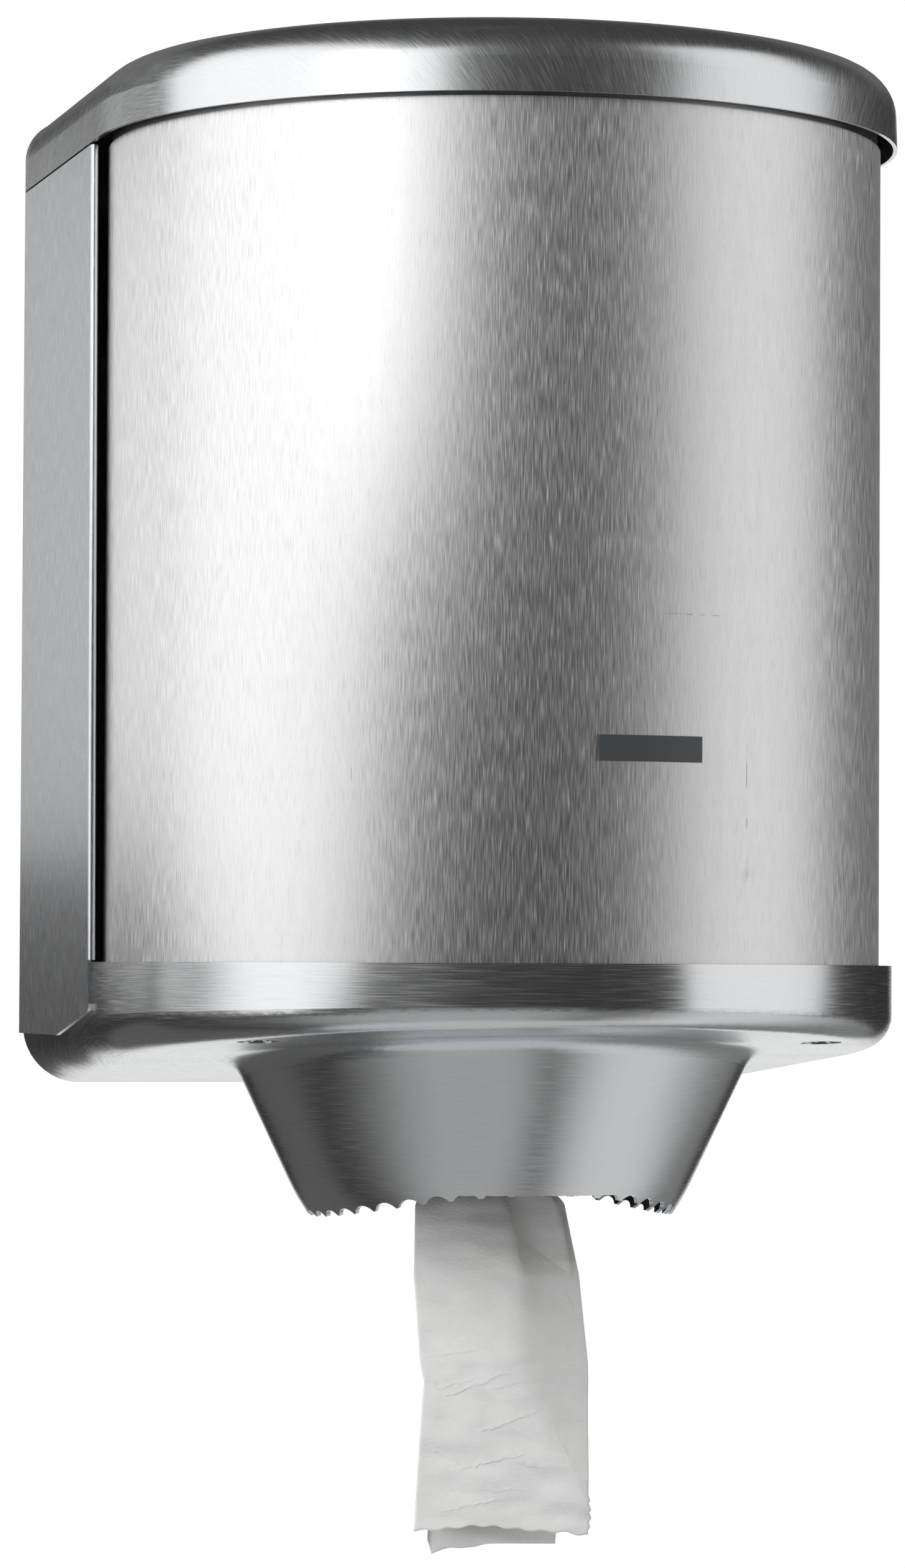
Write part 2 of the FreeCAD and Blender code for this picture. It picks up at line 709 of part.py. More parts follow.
def make_track():
    """Ring under the cap: a flange on its flat, a slope clear of its corner and a rim for the door."""
    corner = "(cap_corner - cap_sheet)"
    past_flat = f"({TRACK_OUTER} - {CAP_FLAT})"
    ceiling_drop = f"({corner} - sqrt({corner} ^ 2 - {past_flat} ^ 2))"
    bend = f"({CAP_UNDER} - {ceiling_drop} - track_bend_clearance)"
    section = [
        (TRACK_INNER, TRACK_FOOT),
        (TRACK_OUTER, TRACK_FOOT),
        (TRACK_OUTER, bend),
        (TRACK_FLAT, CAP_UNDER),
        (FLANGE_INNER, CAP_UNDER),
        (FLANGE_INNER, TRACK_UNDER),
        (TRACK_FLAT, TRACK_UNDER),
        (TRACK_INNER, f"{bend} - track_sheet"),
    ]
    return turned("upper_track", section)


FRONT_ANGLES = ["0 - front_fastener_angle", "front_fastener_angle"]
REAR_ANGLES = ["180 + rear_fastener_angle", "180 - rear_fastener_angle"]
NOZZLE_ANGLES = ["0", "120", "240"]
NOZZLE_SCREW_HOLE = "(nozzle_screw_shank + fit_gap)"


def make_platform():
    """Shelf for the roll, with a wall and a ledge that carry and centre the door."""
    wall_inner = f"({PLATFORM_RADIUS} - platform_sheet)"
    ledge_outer = f"({PLATFORM_RADIUS} + ledge_width)"
    hole = "(nozzle_spigot_radius + fit_gap)"
    section = [
        (hole, PLATFORM_UNDER),
        (hole, PLATFORM_TOP),
        (PLATFORM_RADIUS, PLATFORM_TOP),
        (PLATFORM_RADIUS, LEDGE_TOP),
        (ledge_outer, LEDGE_TOP),
        (ledge_outer, LEDGE_UNDER),
        (wall_inner, LEDGE_UNDER),
        (wall_inner, PLATFORM_UNDER),
    ]
    body = turned("roll_platform", section)
    holes = [(*from_axis(FASTENER_CIRCLE, angle), SHANK_HOLE) for angle in FRONT_ANGLES + REAR_ANGLES]
    holes += [(*from_axis("nozzle_screw_place_radius", angle), NOZZLE_SCREW_HOLE) for angle in NOZZLE_ANGLES]
    drill(body, "platform_holes", "XY_Plane", holes)
    return body


def make_nozzle():
    """Cone that gathers the paper: a spigot in the platform, a flange under it and a slotted neck."""
    spigot_inner = "(nozzle_spigot_radius - nozzle_wall)"
    neck_inner = "(nozzle_neck_radius - nozzle_wall)"
    flange_under = f"({PLATFORM_UNDER} - nozzle_flange_height)"
    cone_foot = f"({flange_under} - nozzle_cone_height)"
    neck_foot = f"({cone_foot} - nozzle_neck_height)"
    section = [
        (spigot_inner, PLATFORM_TOP),
        ("nozzle_spigot_radius", PLATFORM_TOP),
        ("nozzle_spigot_radius", PLATFORM_UNDER),
        ("nozzle_flange_radius", PLATFORM_UNDER),
        ("nozzle_flange_radius", flange_under),
        ("nozzle_spigot_radius", flange_under),
        ("nozzle_neck_radius", cone_foot),
        ("nozzle_neck_radius", neck_foot),
        (neck_inner, neck_foot),
        (neck_inner, cone_foot),
        (spigot_inner, flange_under),
    ]
    body = turned("feed_nozzle", section)
    holes = [(*from_axis("nozzle_screw_place_radius", angle), NOZZLE_SCREW_HOLE) for angle in NOZZLE_ANGLES]
    drill(body, "flange_holes", "XY_Plane", holes)
    slot_top = f"({cone_foot} - nozzle_wall)"
    slot = [
        ("0 - nozzle_slot / 2", f"{neck_foot} - nozzle_wall"),
        ("nozzle_slot / 2", f"{neck_foot} - nozzle_wall"),
        ("nozzle_slot / 2", slot_top),
        ("0 - nozzle_slot / 2", slot_top),
    ]
    sketch = new_sketch(body, "slot_outline", "XZ_Plane")
    draw_polygon(sketch, slot)
    doc.recompute()
    before = body.Shape.Volume
    pocket = body.newObject("PartDesign::Pocket", "slots")
    pocket.Profile = sketch
    pocket.Type = "ThroughAll"
    pocket.Midplane = True
    doc.recompute()
    pattern = body.newObject("PartDesign::PolarPattern", "slot_pattern")
    pattern.Originals = [pocket]
    pattern.Axis = (sketch, ["V_Axis"])
    pattern.Angle = 90
    pattern.Occurrences = 2
    body.Tip = pattern
    doc.recompute()
    if not body.Shape.Volume < before:
        raise RuntimeError("the neck's slots cut nothing")
    return body


def headed_pin(name, place, shank, head, lower_face, upper_face, heads=("low", "high")):
    """A shank between two faces with a head beyond one of them or both."""
    x, y = place
    parts = [rod(f"{name}_shank", shank, (lower_face, upper_face), x, y)]
    if "low" in heads:
        parts.append(rod(f"{name}_low", head, (f"{lower_face} - head_height", lower_face), x, y))
    if "high" in heads:
        parts.append(rod(f"{name}_high", head, (upper_face, f"{upper_face} + head_height"), x, y))
    return fuse(name, parts)


DIMPLE_RISE = f"tan(bottom_slope * 1 deg) * {FASTENER_CIRCLE} * cos(front_fastener_angle * 1 deg)"
DIMPLE_FLOOR = f"({RIM} - bottom_below_rim + {DIMPLE_RISE} + dimple_depth)"
BRACKET_UNDER = f"({LEDGE_UNDER} - bracket_sheet)"


def tube(name, outer, inner, z, place):
    """An upright tube at a place."""
    x, y = place
    hollow = rod(f"{name}_in", inner, (f"{z[0]} - 1", f"{z[1]} + 1"), x, y)
    return cut(name, rod(f"{name}_out", outer, z, x, y), hollow)


def make_front_fasteners():
    """Sleeves and rivets that carry the platform on the bowl, in its two dimples."""
    sleeve_z = (f"({DIMPLE_FLOOR} + bowl_sheet)", PLATFORM_UNDER)
    sleeves = []
    rivets = []
    for n, angle in enumerate(FRONT_ANGLES):
        place = polar(FASTENER_CIRCLE, angle)
        sleeves.append(tube(f"front_sleeve_{n}", "sleeve_radius", SHANK_HOLE, sleeve_z, place))
        rivets.append(headed_pin(f"front_rivet_{n}", place, "fastener_shank", "fastener_head",
                                 DIMPLE_FLOOR, PLATFORM_TOP))
    return {"front_sleeves": group("front_sleeves", sleeves), "front_rivets": group("front_rivets", rivets)}


def make_rear_fasteners():
    """Brackets on the back plate that carry the platform, each with a sleeve, a screw and a nut."""
    made = {"rear_brackets": [], "rear_sleeves": [], "rear_screws": [], "rear_nuts": []}
    nut_under = f"({BRACKET_UNDER} - rear_nut_height)"
    screw_end = f"({nut_under} - bracket_sheet / 2)"
    for n, angle in enumerate(REAR_ANGLES):
        x, y = polar(FASTENER_CIRCLE, angle)
        across = (f"({x} - bracket_width / 2)", f"({x} + bracket_width / 2)")
        depth = (f"({y} - bracket_width / 2)", PLATE_FACE)
        shelf = block(f"bracket_shelf_{n}", across, depth, (BRACKET_UNDER, LEDGE_UNDER))
        leg_depth = (f"({PLATE_FACE} - bracket_sheet)", PLATE_FACE)
        leg = block(f"bracket_leg_{n}", across, leg_depth, (f"({LEDGE_UNDER} - bracket_leg)", LEDGE_UNDER))
        hole = rod(f"bracket_hole_{n}", SHANK_HOLE, (f"{BRACKET_UNDER} - 1", f"{LEDGE_UNDER} + 1"), x, y)
        bracket = cut(f"rear_bracket_{n}", fuse(f"bracket_bent_{n}", [shelf, leg]), hole)
        made["rear_brackets"].append(bracket)
        sleeve_z = (LEDGE_UNDER, PLATFORM_UNDER)
        sleeve = tube(f"rear_sleeve_{n}", "sleeve_radius", SHANK_HOLE, sleeve_z, (x, y))
        made["rear_sleeves"].append(sleeve)
        screw = headed_pin(f"rear_screw_{n}", (x, y), "fastener_shank", "fastener_head",
                           screw_end, PLATFORM_TOP, ["high"])
        made["rear_screws"].append(screw)
        nut_z = (nut_under, BRACKET_UNDER)
        made["rear_nuts"].append(nut(f"rear_nut_{n}", "rear_nut_flat", SHANK_HOLE, nut_z, (x, y)))
    return {name: group(name, pieces) for name, pieces in made.items()}


def make_small_fasteners():
    """Screws that hold the nozzle under the platform, and rivets that hold the cap on its tabs."""
    flange_under = f"({PLATFORM_UNDER} - nozzle_flange_height)"
    screws = []
    for n, angle in enumerate(NOZZLE_ANGLES):
        place = polar("nozzle_screw_place_radius", angle)
        screws.append(headed_pin(f"nozzle_screw_{n}", place, "nozzle_screw_shank", "nozzle_screw_head",
                                 flange_under, PLATFORM_TOP, ["low"]))
    tab_under = f"({CAP_UNDER} - back_sheet)"
    rivets = []
    for n, place in enumerate(cap_rivet_places()):
        rivets.append(headed_pin(f"cap_rivet_{n}", place, "fastener_shank", "fastener_head",
                                 tab_under, CAP_TOP))
    return {"nozzle_screws": group("nozzle_screws", screws), "cap_rivets": group("cap_rivets", rivets)}


def nut(name, flat, hole, z, place):
    """A hexagonal nut between two heights."""
    x, y = place
    prism = doc.addObject("Part::Prism", f"{name}_prism")
    prism.Polygon = 6
    bind(prism, Circumradius=f"{flat} / 2 / cos(30 deg)", Height=f"({z[1]}) - ({z[0]})")
    bind(prism, Placement__Base__x=x, Placement__Base__y=y, Placement__Base__z=z[0])
    return cut(name, prism, rod(f"{name}_hole", hole, (f"{z[0]} - 1", f"{z[1]} + 1"), x, y))


def make_door():
    """The door's shell, channels, glides, edge bars, stop tab and the bare plate on its front."""
    made = {}
    half = "door_half_angle"
    made["door_shell"] = arc_ring("door_shell", HOOP_OUTER, DOOR_RADIUS, (DOOR_FOOT, DOOR_TOP), "0", half)
    upper_foot = f"({DOOR_TOP} - hoop_overlap)"
    channel_top = f"({HOOP_FLOOR} + upper_hoop_height)"
    floor_z = (HOOP_FLOOR, f"({HOOP_FLOOR} + hoop_sheet)")
    made["door_upper_hoop"] = fuse("door_upper_hoop", [
        arc_ring("upper_outer_wall", GROOVE_OUTER, HOOP_OUTER, (upper_foot, channel_top), "0", half),
        arc_ring("upper_floor", HOOP_INNER, HOOP_OUTER, floor_z, "0", half),
        arc_ring("upper_inner_wall", HOOP_INNER, GROOVE_INNER, (HOOP_FLOOR, channel_top), "0", half),
    ])
    lower_top = f"({HOOP_FOOT} + lower_hoop_height)"
    foot_z = (HOOP_FOOT, f"({HOOP_FOOT} + hoop_sheet)")
    made["door_lower_hoop"] = fuse("door_lower_hoop", [
        arc_ring("lower_wall", GROOVE_OUTER, HOOP_OUTER, (HOOP_FOOT, lower_top), "0", half),
        arc_ring("lower_foot", f"({HOOP_OUTER} - foot_width)", HOOP_OUTER, foot_z, "0", half),
    ])
    glide_inner = f"({PLATFORM_RADIUS} + running_gap)"
    glide_outer = f"({PLATFORM_RADIUS} + ledge_width)"
    glide_z = (GLIDE_FOOT, HOOP_FOOT)
    glides = []
    for number, share in enumerate((-3, -1, 1, 3)):
        middle = f"({share} * (door_half_angle - glide_angle) / 3)"
        glides.append(arc_ring(f"door_glide_{number}", glide_inner, glide_outer, glide_z,
                               middle, "glide_angle / 2"))
    made["door_glides"] = group("door_glides", glides)
    bars = []
    for side in (-1, 1):
        middle = f"({side} * (door_half_angle - edge_bar_angle / 2))"
        name = "left" if side < 0 else "right"
        bars.append(arc_ring(f"{name}_edge_bar", f"({HOOP_OUTER} - edge_bar_thickness)", HOOP_OUTER,
                             (lower_top, upper_foot), middle, "edge_bar_angle / 2"))
    made["door_edge_bars"] = group("door_edge_bars", bars)
    plate_foot = f"({RIM} + plate_above_rim - plate_height / 2)"
    plate_half = "plate_width_angle / 2"
    made["name_plate"] = arc_ring("name_plate", DOOR_RADIUS, f"{DOOR_RADIUS} + plate_thickness",
                                  (plate_foot, f"({plate_foot} + plate_height)"), plate_half, plate_half)
    return made


TAB_TOP = f"({CAP_TOP} - lock_barrel_drop + cam_thickness - running_gap)"
TAB_FOOT = f"({TAB_TOP} - stop_tab_height)"


def radial_block(name, x, inner, outer, z, rear=False):
    """A block between two planes of X that runs from one radius out to a round face at another."""
    if rear:
        y = (f"({AXIS_Y} + {inner})", f"({AXIS_Y} + {outer} + 1)")
    else:
        y = (f"({AXIS_Y} - {outer} - 1)", f"({AXIS_Y} - {inner})")
    return common(name, [block(f"{name}_block", x, y, z), rod(f"{name}_round", outer, z)])


def make_stops():
    """The door's tab between two fixed posts, each post with a rubber pad."""
    made = {}
    tab_right = "(0 - stop_tab_from_middle)"
    tab_left = f"({tab_right} - stop_tab_width)"
    tab_x = (tab_left, tab_right)
    tab_z = (TAB_FOOT, TAB_TOP)
    made["door_stop_tab"] = radial_block("door_stop_tab", tab_x, TAB_INNER, HOOP_INNER, tab_z)
    post_outer = f"({TRACK_FLAT} - running_gap)"
    post_inner = FLANGE_INNER
    post_foot = f"({TAB_FOOT} + stop_tab_height / 8)"
    post_z = (post_foot, TRACK_UNDER)
    pad_z = (post_foot, TAB_TOP)
    front_pad = (f"({tab_left} - running_gap - stop_pad_thickness)", f"({tab_left} - running_gap)")
    front_post = (f"({front_pad[0]} - stop_post_thickness)", front_pad[0])
    rear_face = "(stop_tab_from_middle - running_gap)"
    rear_pad = (f"({rear_face} - stop_pad_thickness)", rear_face)
    rear_post = (f"({rear_pad[0]} - stop_post_thickness)", rear_pad[0])
    made["stop_posts"] = group("stop_posts", [
        radial_block("front_post", front_post, post_inner, post_outer, post_z),
        radial_block("rear_post", rear_post, post_inner, post_outer, post_z, rear=True),
    ])
    made["stop_pads"] = group("stop_pads", [
        radial_block("front_pad", front_pad, post_inner, post_outer, pad_z),
        radial_block("rear_pad", rear_pad, post_inner, post_outer, pad_z, rear=True),
    ])
    return made


def make_lock():
    """Cam lock in the cap's top: housing, nut, plug with its key slot, cam and screw."""
    made = {}
    x = "0"
    y = f"({AXIS_Y} - {LOCK_RADIUS})"
    head_top = f"({CAP_TOP} + lock_head_height)"
    barrel_foot = f"({CAP_TOP} - lock_barrel_drop)"
    plug_seat = f"({head_top} - plug_head_height)"
    shell = fuse("lock_housing_outside", [
        rod("lock_head", "lock_head_radius", (CAP_TOP, head_top), x, y),
        rod("lock_barrel", "lock_barrel_radius", (barrel_foot, CAP_TOP), x, y),
    ])
    hollow = fuse("lock_housing_inside", [
        rod("lock_bore", "plug_radius + fit_gap", (f"{barrel_foot} - 1", f"{head_top} + 1"), x, y),
        rod("lock_counterbore", "plug_head_radius + fit_gap", (plug_seat, f"{head_top} + 1"), x, y),
    ])
    made["lock_housing"] = cut("lock_housing", shell, hollow)
    made["lock_nut"] = nut("lock_nut", "lock_nut_flat", "lock_barrel_radius + fit_gap",
                           (f"({CAP_UNDER} - lock_nut_height)", CAP_UNDER), (x, y))
    cam_top = f"({barrel_foot} - running_gap)"
    cam_foot = f"({cam_top} - cam_thickness)"
    plug = fuse("lock_plug_solid", [
        rod("plug_head", "plug_head_radius", (plug_seat, head_top), x, y),
        rod("plug_body", "plug_radius", (cam_top, plug_seat), x, y),
        rod("plug_spigot", "cam_spigot", (cam_foot, cam_top), x, y),
    ])
    slot = block("key_slot", ("(0 - key_slot_length / 2)", "(key_slot_length / 2)"),
                 (f"({y} - key_slot_width / 2)", f"({y} + key_slot_width / 2)"),
                 (f"({head_top} - key_slot_depth)", f"({head_top} + 1)"))
    thread_z = (f"({cam_foot} - 1)", f"({cam_foot} + cam_screw_length)")
    thread = rod("plug_thread", "cam_screw_shank + fit_gap", thread_z, x, y)
    made["lock_plug"] = cut("lock_plug", plug, fuse("plug_cuts", [slot, thread]))
    bar_y = (f"({y} - cam_half_width)", f"({y} + cam_half_width)")
    bar = block("cam_bar", ("0", "cam_reach"), bar_y, (cam_foot, cam_top))
    hub = rod("cam_hub_disc", "cam_hub", (cam_foot, cam_top), x, y)
    hole = rod("cam_hole", "cam_spigot + fit_gap", (f"{cam_foot} - 1", f"{cam_top} + 1"), x, y)
    made["lock_cam"] = cut("lock_cam", fuse("cam_solid", [bar, hub]), hole)
    screw_end = f"({cam_foot} + cam_screw_length - fit_gap)"
    made["cam_screw"] = headed_pin("cam_screw", (x, y), "cam_screw_shank", "cam_screw_head",
                                   cam_foot, screw_end, ["low"])
    return made


def make_seals():
    """A dark strip on each side flange, behind its hem."""
    made = {}
    start = f"({AXIS_Y} + flange_setback + back_sheet + hem_depth)"
    y = (start, f"({start} + seal_depth)")
    z = (f"({RIM} + lip_gap)", DOOR_TOP)
    inner = f"({DOOR_RADIUS} + seal_gap)"
    made["left_side_seal"] = block("left_side_seal", (f"(0 - {BOWL_RADIUS})", f"(0 - {inner})"), y, z)
    made["right_side_seal"] = block("right_side_seal", (inner, BOWL_RADIUS), y, z)
    return made


def make_roll():
    """Paper roll that stands on the platform."""
    radius = f"({FASTENER_CIRCLE} - fastener_head - roll_clearance)"
    foot = f"({PLATFORM_TOP} + running_gap)"
    return ring("paper_roll", "roll_bore", radius, (foot, f"({CAP_UNDER} - roll_headroom)"))


# The web's outline at places down its hang: the share of the hang above it, the share of its width
# there, half its depth, where its fold lies right of the middle and how deep the fold is.
WEB_OUTLINES = [
    (0.14, 0.74, 7.0, -4.0, 1.5),
    (0.22, 0.86, 4.5, 0.0, 1.5),
    (0.45, 0.93, 3.6, 8.0, 1.2),
    (0.75, 1.00, 3.4, 6.0, 1.2),
    (1.00, 1.00, 3.0, -6.0, 1.0),
]


def web_section(half_width, depth, fold, groove, height):
    """Outline of the folded web at one height: two crowned panels that meet in a fold.

    Six arcs go round it: two at the front, a short one at each edge and two at the rear.
    """
    edge = depth / 3
    inner = half_width - edge
    points = [
        (-inner, -edge),
        ((fold - inner) / 2, -depth),
        (fold, -depth + groove),
        ((fold + inner) / 2, -depth),
        (inner, -edge),
        (half_width, 0),
        (inner, edge),
        ((fold + inner) / 2, depth),
        (fold, depth - groove),
        ((fold - inner) / 2, depth),
        (-inner, edge),
        (-half_width, 0),
    ]
    places = [Vector(x, y, height) for x, y in points]
    edges = []
    for start in range(0, len(places), 2):
        ends = (places[start], places[start + 1], places[(start + 2) % len(places)])
        edges.append(Part.Arc(*ends).toShape())
    return Part.Wire(edges)


def rope_section(radius, height):
    """Outline of the twisted rope, in six arcs that start where the web's do."""
    edge = 20
    starts = [180 + edge, 270, 360 - edge, 360 + edge, 450, 540 - edge, 540 + edge]
    edges = []
    for begin, end in zip(starts, starts[1:]):
        ends = []
        for angle in (begin, (begin + end) / 2, end):
            turn = math.radians(angle)
            ends.append(Vector(radius * math.cos(turn), radius * math.sin(turn), height))
        edges.append(Part.Arc(*ends).toShape())
    return Part.Wire(edges)


def make_tail():
    """Paper that peels off the roll's bore, twists into a rope and hangs out as a folded web."""
    twist = mm("nozzle_neck_radius - nozzle_wall - twist_gap")
    peel_radius = mm("roll_bore - running_gap")
    peel_drop = 2 * (peel_radius - twist)
    peel_top = mm("peel_top_above_rim")
    peel = Part.makeCone(twist, peel_radius, peel_drop, Vector(0, 0, peel_top - peel_drop))
    rope_foot = -mm("platform_below_rim + nozzle_cone_height + nozzle_neck_height")
    rope = Part.makeCylinder(twist, peel_top - peel_drop - rope_foot, Vector(0, 0, rope_foot))
    web_end = -mm("web_end_below_rim")
    hang = web_end - rope_foot
    sections = [rope_section(twist, rope_foot)]
    for share, width_share, depth, fold, groove in WEB_OUTLINES:
        half_width = width_share * mm("web_width") / 2
        sections.append(web_section(half_width, depth, fold, groove, rope_foot + share * hang))
    web = Part.makeLoft(sections, True, True)
    drop = mm("under_layer_drop")
    under_width = mm("under_layer_width")
    under_depth = mm("under_layer_depth")
    under_corner = Vector(-under_width / 2, 0, web_end - drop)
    under = Part.makeBox(under_width, under_depth, 2 * drop, under_corner)
    tail = doc.addObject("Part::Feature", "paper_tail")
    tail.Shape = peel.fuse([rope, web, under]).removeSplitter()
    return bind(tail, Placement__Base__y=AXIS_Y, Placement__Base__z=RIM)


nodes = {
    "back_plate": make_back_plate(),
    "top_cap": make_cap(),
    "bottom_bowl": make_bowl(),
    "upper_track": make_track(),
    "roll_platform": make_platform(),
    "feed_nozzle": make_nozzle(),
    "paper_roll": make_roll(),
    "paper_tail": make_tail(),
}
nodes.update(make_front_fasteners())
nodes.update(make_rear_fasteners())
nodes.update(make_small_fasteners())
nodes.update(make_door())
nodes.update(make_stops())
nodes.update(make_lock())
nodes.update(make_seals())
doc.recompute()

for name, node in nodes.items():
    node.Label = name
for thing in doc.Objects:
    if "Invalid" in thing.State or "Error" in thing.State:
        raise RuntimeError(f"{thing.Label} failed: {thing.State}")
os.makedirs("parts", exist_ok=True)
for name, node in nodes.items():
    shape = node.Shape
    if shape.isNull() or not shape.isValid() or not shape.Solids:
        raise RuntimeError(f"{name} has no sound solid")
    shape.exportStep(f"parts/{name}.step")
    box = shape.BoundBox
    size = f"{box.XLength:.1f} by {box.YLength:.1f} by {box.ZLength:.1f} mm"
    print(f"{name}: {len(shape.Solids)} solids, {shape.Volume:.0f} cubic mm in {size}")
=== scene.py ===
# %% [markdown]
# # A paper towel dispenser in brushed steel
#
# The dispenser hangs on a wall. A drawn cap covers it, a cylindrical door turns between two flat side
# flanges, and a drawn bowl with a funnel lets a folded web of paper out at the bottom. The CAD model gives
# every piece at its real size, so this lesson is about what CAD leaves out: brushed steel, soft paper, a
# wound roll, and a studio that steel can mirror.

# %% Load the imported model
import math
import json

import bpy
import numpy as np
from mathutils import Matrix, Vector

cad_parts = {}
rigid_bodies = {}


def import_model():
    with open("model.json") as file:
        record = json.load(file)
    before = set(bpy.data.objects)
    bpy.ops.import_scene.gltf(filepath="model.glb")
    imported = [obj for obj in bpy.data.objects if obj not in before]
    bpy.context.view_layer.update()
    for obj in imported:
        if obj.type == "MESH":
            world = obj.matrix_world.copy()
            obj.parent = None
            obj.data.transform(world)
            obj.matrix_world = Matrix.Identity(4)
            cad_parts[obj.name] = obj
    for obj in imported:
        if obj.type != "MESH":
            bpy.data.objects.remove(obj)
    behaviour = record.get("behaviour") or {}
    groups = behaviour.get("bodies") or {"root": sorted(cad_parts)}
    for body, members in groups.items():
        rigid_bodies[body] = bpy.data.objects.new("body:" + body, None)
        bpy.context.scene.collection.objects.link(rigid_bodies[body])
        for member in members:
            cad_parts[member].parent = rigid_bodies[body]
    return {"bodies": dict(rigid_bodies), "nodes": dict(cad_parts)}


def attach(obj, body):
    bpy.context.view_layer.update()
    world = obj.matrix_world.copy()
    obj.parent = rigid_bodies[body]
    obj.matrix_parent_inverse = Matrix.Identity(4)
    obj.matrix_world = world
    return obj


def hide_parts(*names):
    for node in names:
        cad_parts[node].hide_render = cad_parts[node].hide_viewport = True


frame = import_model()

# %% [markdown]
# A new Blender file holds a cube, a camera and a lamp of its own.

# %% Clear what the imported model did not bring
packed = set(frame["nodes"].values()) | set(frame["bodies"].values())
for thing in [o for o in bpy.data.objects if o not in packed]:
    bpy.data.objects.remove(thing)
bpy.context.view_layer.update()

# %% [markdown]
# The photograph was taken with a long lens, a little to the left of the middle and a little below it. Round
# edges seen nearly edge-on give that away: the cap's and the bowl's ellipses open by different amounts. A
# camera fitted to both stands 1.67 m from the roll's axis, 15 degrees to the left, and looks slightly up.

# %% Set the camera
AXIS_Y = -0.121
SENSOR = 36.0
PHOTO_WIDTH = 1456
PHOTO_HEIGHT = 2523
FOCAL_PIXELS = 9036.3
CAMERA_PLACE = (-0.4322, -1.7339, -0.1239)
HEADING, PITCH, ROLL = (math.radians(a) for a in (14.604, 1.968, 0.281))


def camera_turn(heading, pitch, roll):
    """Columns right, up, back: the level view along heading, then tipped up, then rolled about itself."""
    ahead = Vector((math.sin(heading), math.cos(heading), 0.0))
    right = Vector((math.cos(heading), -math.sin(heading), 0.0))
    up = Vector((0.0, 0.0, 1.0))
    ahead, up = (ahead * math.cos(pitch) + up * math.sin(pitch),
                 up * math.cos(pitch) - ahead * math.sin(pitch))
    right, up = (right * math.cos(roll) + up * math.sin(roll),
                 up * math.cos(roll) - right * math.sin(roll))
    return Matrix((right, up, -ahead)).transposed()


camera_data = bpy.data.cameras.new("camera")
camera_data.sensor_width = SENSOR
camera_data.lens = FOCAL_PIXELS * SENSOR / max(PHOTO_WIDTH, PHOTO_HEIGHT)
camera = bpy.data.objects.new("camera", camera_data)
bpy.context.scene.collection.objects.link(camera)
camera.location = CAMERA_PLACE
camera.rotation_mode = "QUATERNION"
camera.rotation_quaternion = camera_turn(HEADING, PITCH, ROLL).to_quaternion()
bpy.context.scene.camera = camera
bpy.context.scene.view_settings.view_transform = "Standard"
print("lens", round(camera_data.lens, 2), "mm")

# %% [markdown]
# Small helpers keep the materials short. `node` adds one shader node and either links or sets its inputs,
# and the others stand for the nodes that come up most.

# %% Helpers for shader nodes


def node(tree, kind, inputs=None, **settings):
    """Adds one shader node. An input that is another node's output is linked, any other value is set."""
    made = tree.nodes.new("ShaderNode" + kind)
    for key, value in settings.items():
        setattr(made, key, value)
    for key, value in (inputs or {}).items():
        if isinstance(value, bpy.types.NodeSocket):
            tree.links.new(value, made.inputs[key])
        else:
            made.inputs[key].default_value = value
    return made


def maths(tree, operation, *values):
    """One Math node on one to three values."""
    return node(tree, "Math", dict(enumerate(values)), operation=operation).outputs[0]


def plus(tree, a, b):
    """a + b."""
    return maths(tree, "ADD", a, b)


def minus(tree, a, b):
    """a - b."""
    return maths(tree, "SUBTRACT", a, b)


def times(tree, a, b):
    """a x b."""
    return maths(tree, "MULTIPLY", a, b)


def over(tree, a, b):
    """a / b."""
    return maths(tree, "DIVIDE", a, b)


def combine(tree, x, y, z):
    """A vector from three numbers or outputs."""
    return node(tree, "CombineXYZ", {0: x, 1: y, 2: z}).outputs[0]


def scaled(tree, vector, share):
    """A vector or a colour times a share."""
    return node(tree, "VectorMath", {0: vector, "Scale": share}, operation="SCALE").outputs[0]


def noise(tree, place, scale, detail):
    """Soft noise about 0.5, read at place, with scale grains to each unit of place."""
    return node(tree, "TexNoise", {"Vector": place, "Scale": scale, "Detail": detail}).outputs["Fac"]


def object_place(tree):
    """Where a point lies, in its piece and on the dispenser at rest."""
    return node(tree, "TexCoord").outputs["Object"]


def tilt(tree, height, relief, under=None):
    """The tilt that height, times relief in metres, gives a surface, laid on the tilt under it."""
    bump = node(tree, "Bump", {"Strength": 1.0, "Distance": relief, "Height": height})
    if under is not None:
        tree.links.new(under, bump.inputs["Normal"])
    return bump.outputs[0]


def blank_material(name):
    """A new material with its tree and its Principled shader."""
    material = bpy.data.materials.new(name)
    material.use_nodes = True
    tree = material.node_tree
    return material, tree, tree.nodes["Principled BSDF"]


# %% [markdown]
# Steel shows its surroundings, so the studio matters as much as the metal. The bands on the door say where
# the lights stood: a wide softbox on the left with a small one in front of it, and one on the right. Metal
# and paper want slightly different lamps. So the right one has a twin that only mirror rays see, and a fill
# on the left gives only soft light, which keeps the paper's left panel brighter than its right one.

# %% Set up the lamps
BOX_DISTANCE = 1.5
BOX_LIFT = 0.62
RIGHT_AZIMUTH = 63.5
RIGHT_SIZE = (1.5, 2.2)
# The twin stands this much behind the right lamp
TWIN_GAP = 0.02


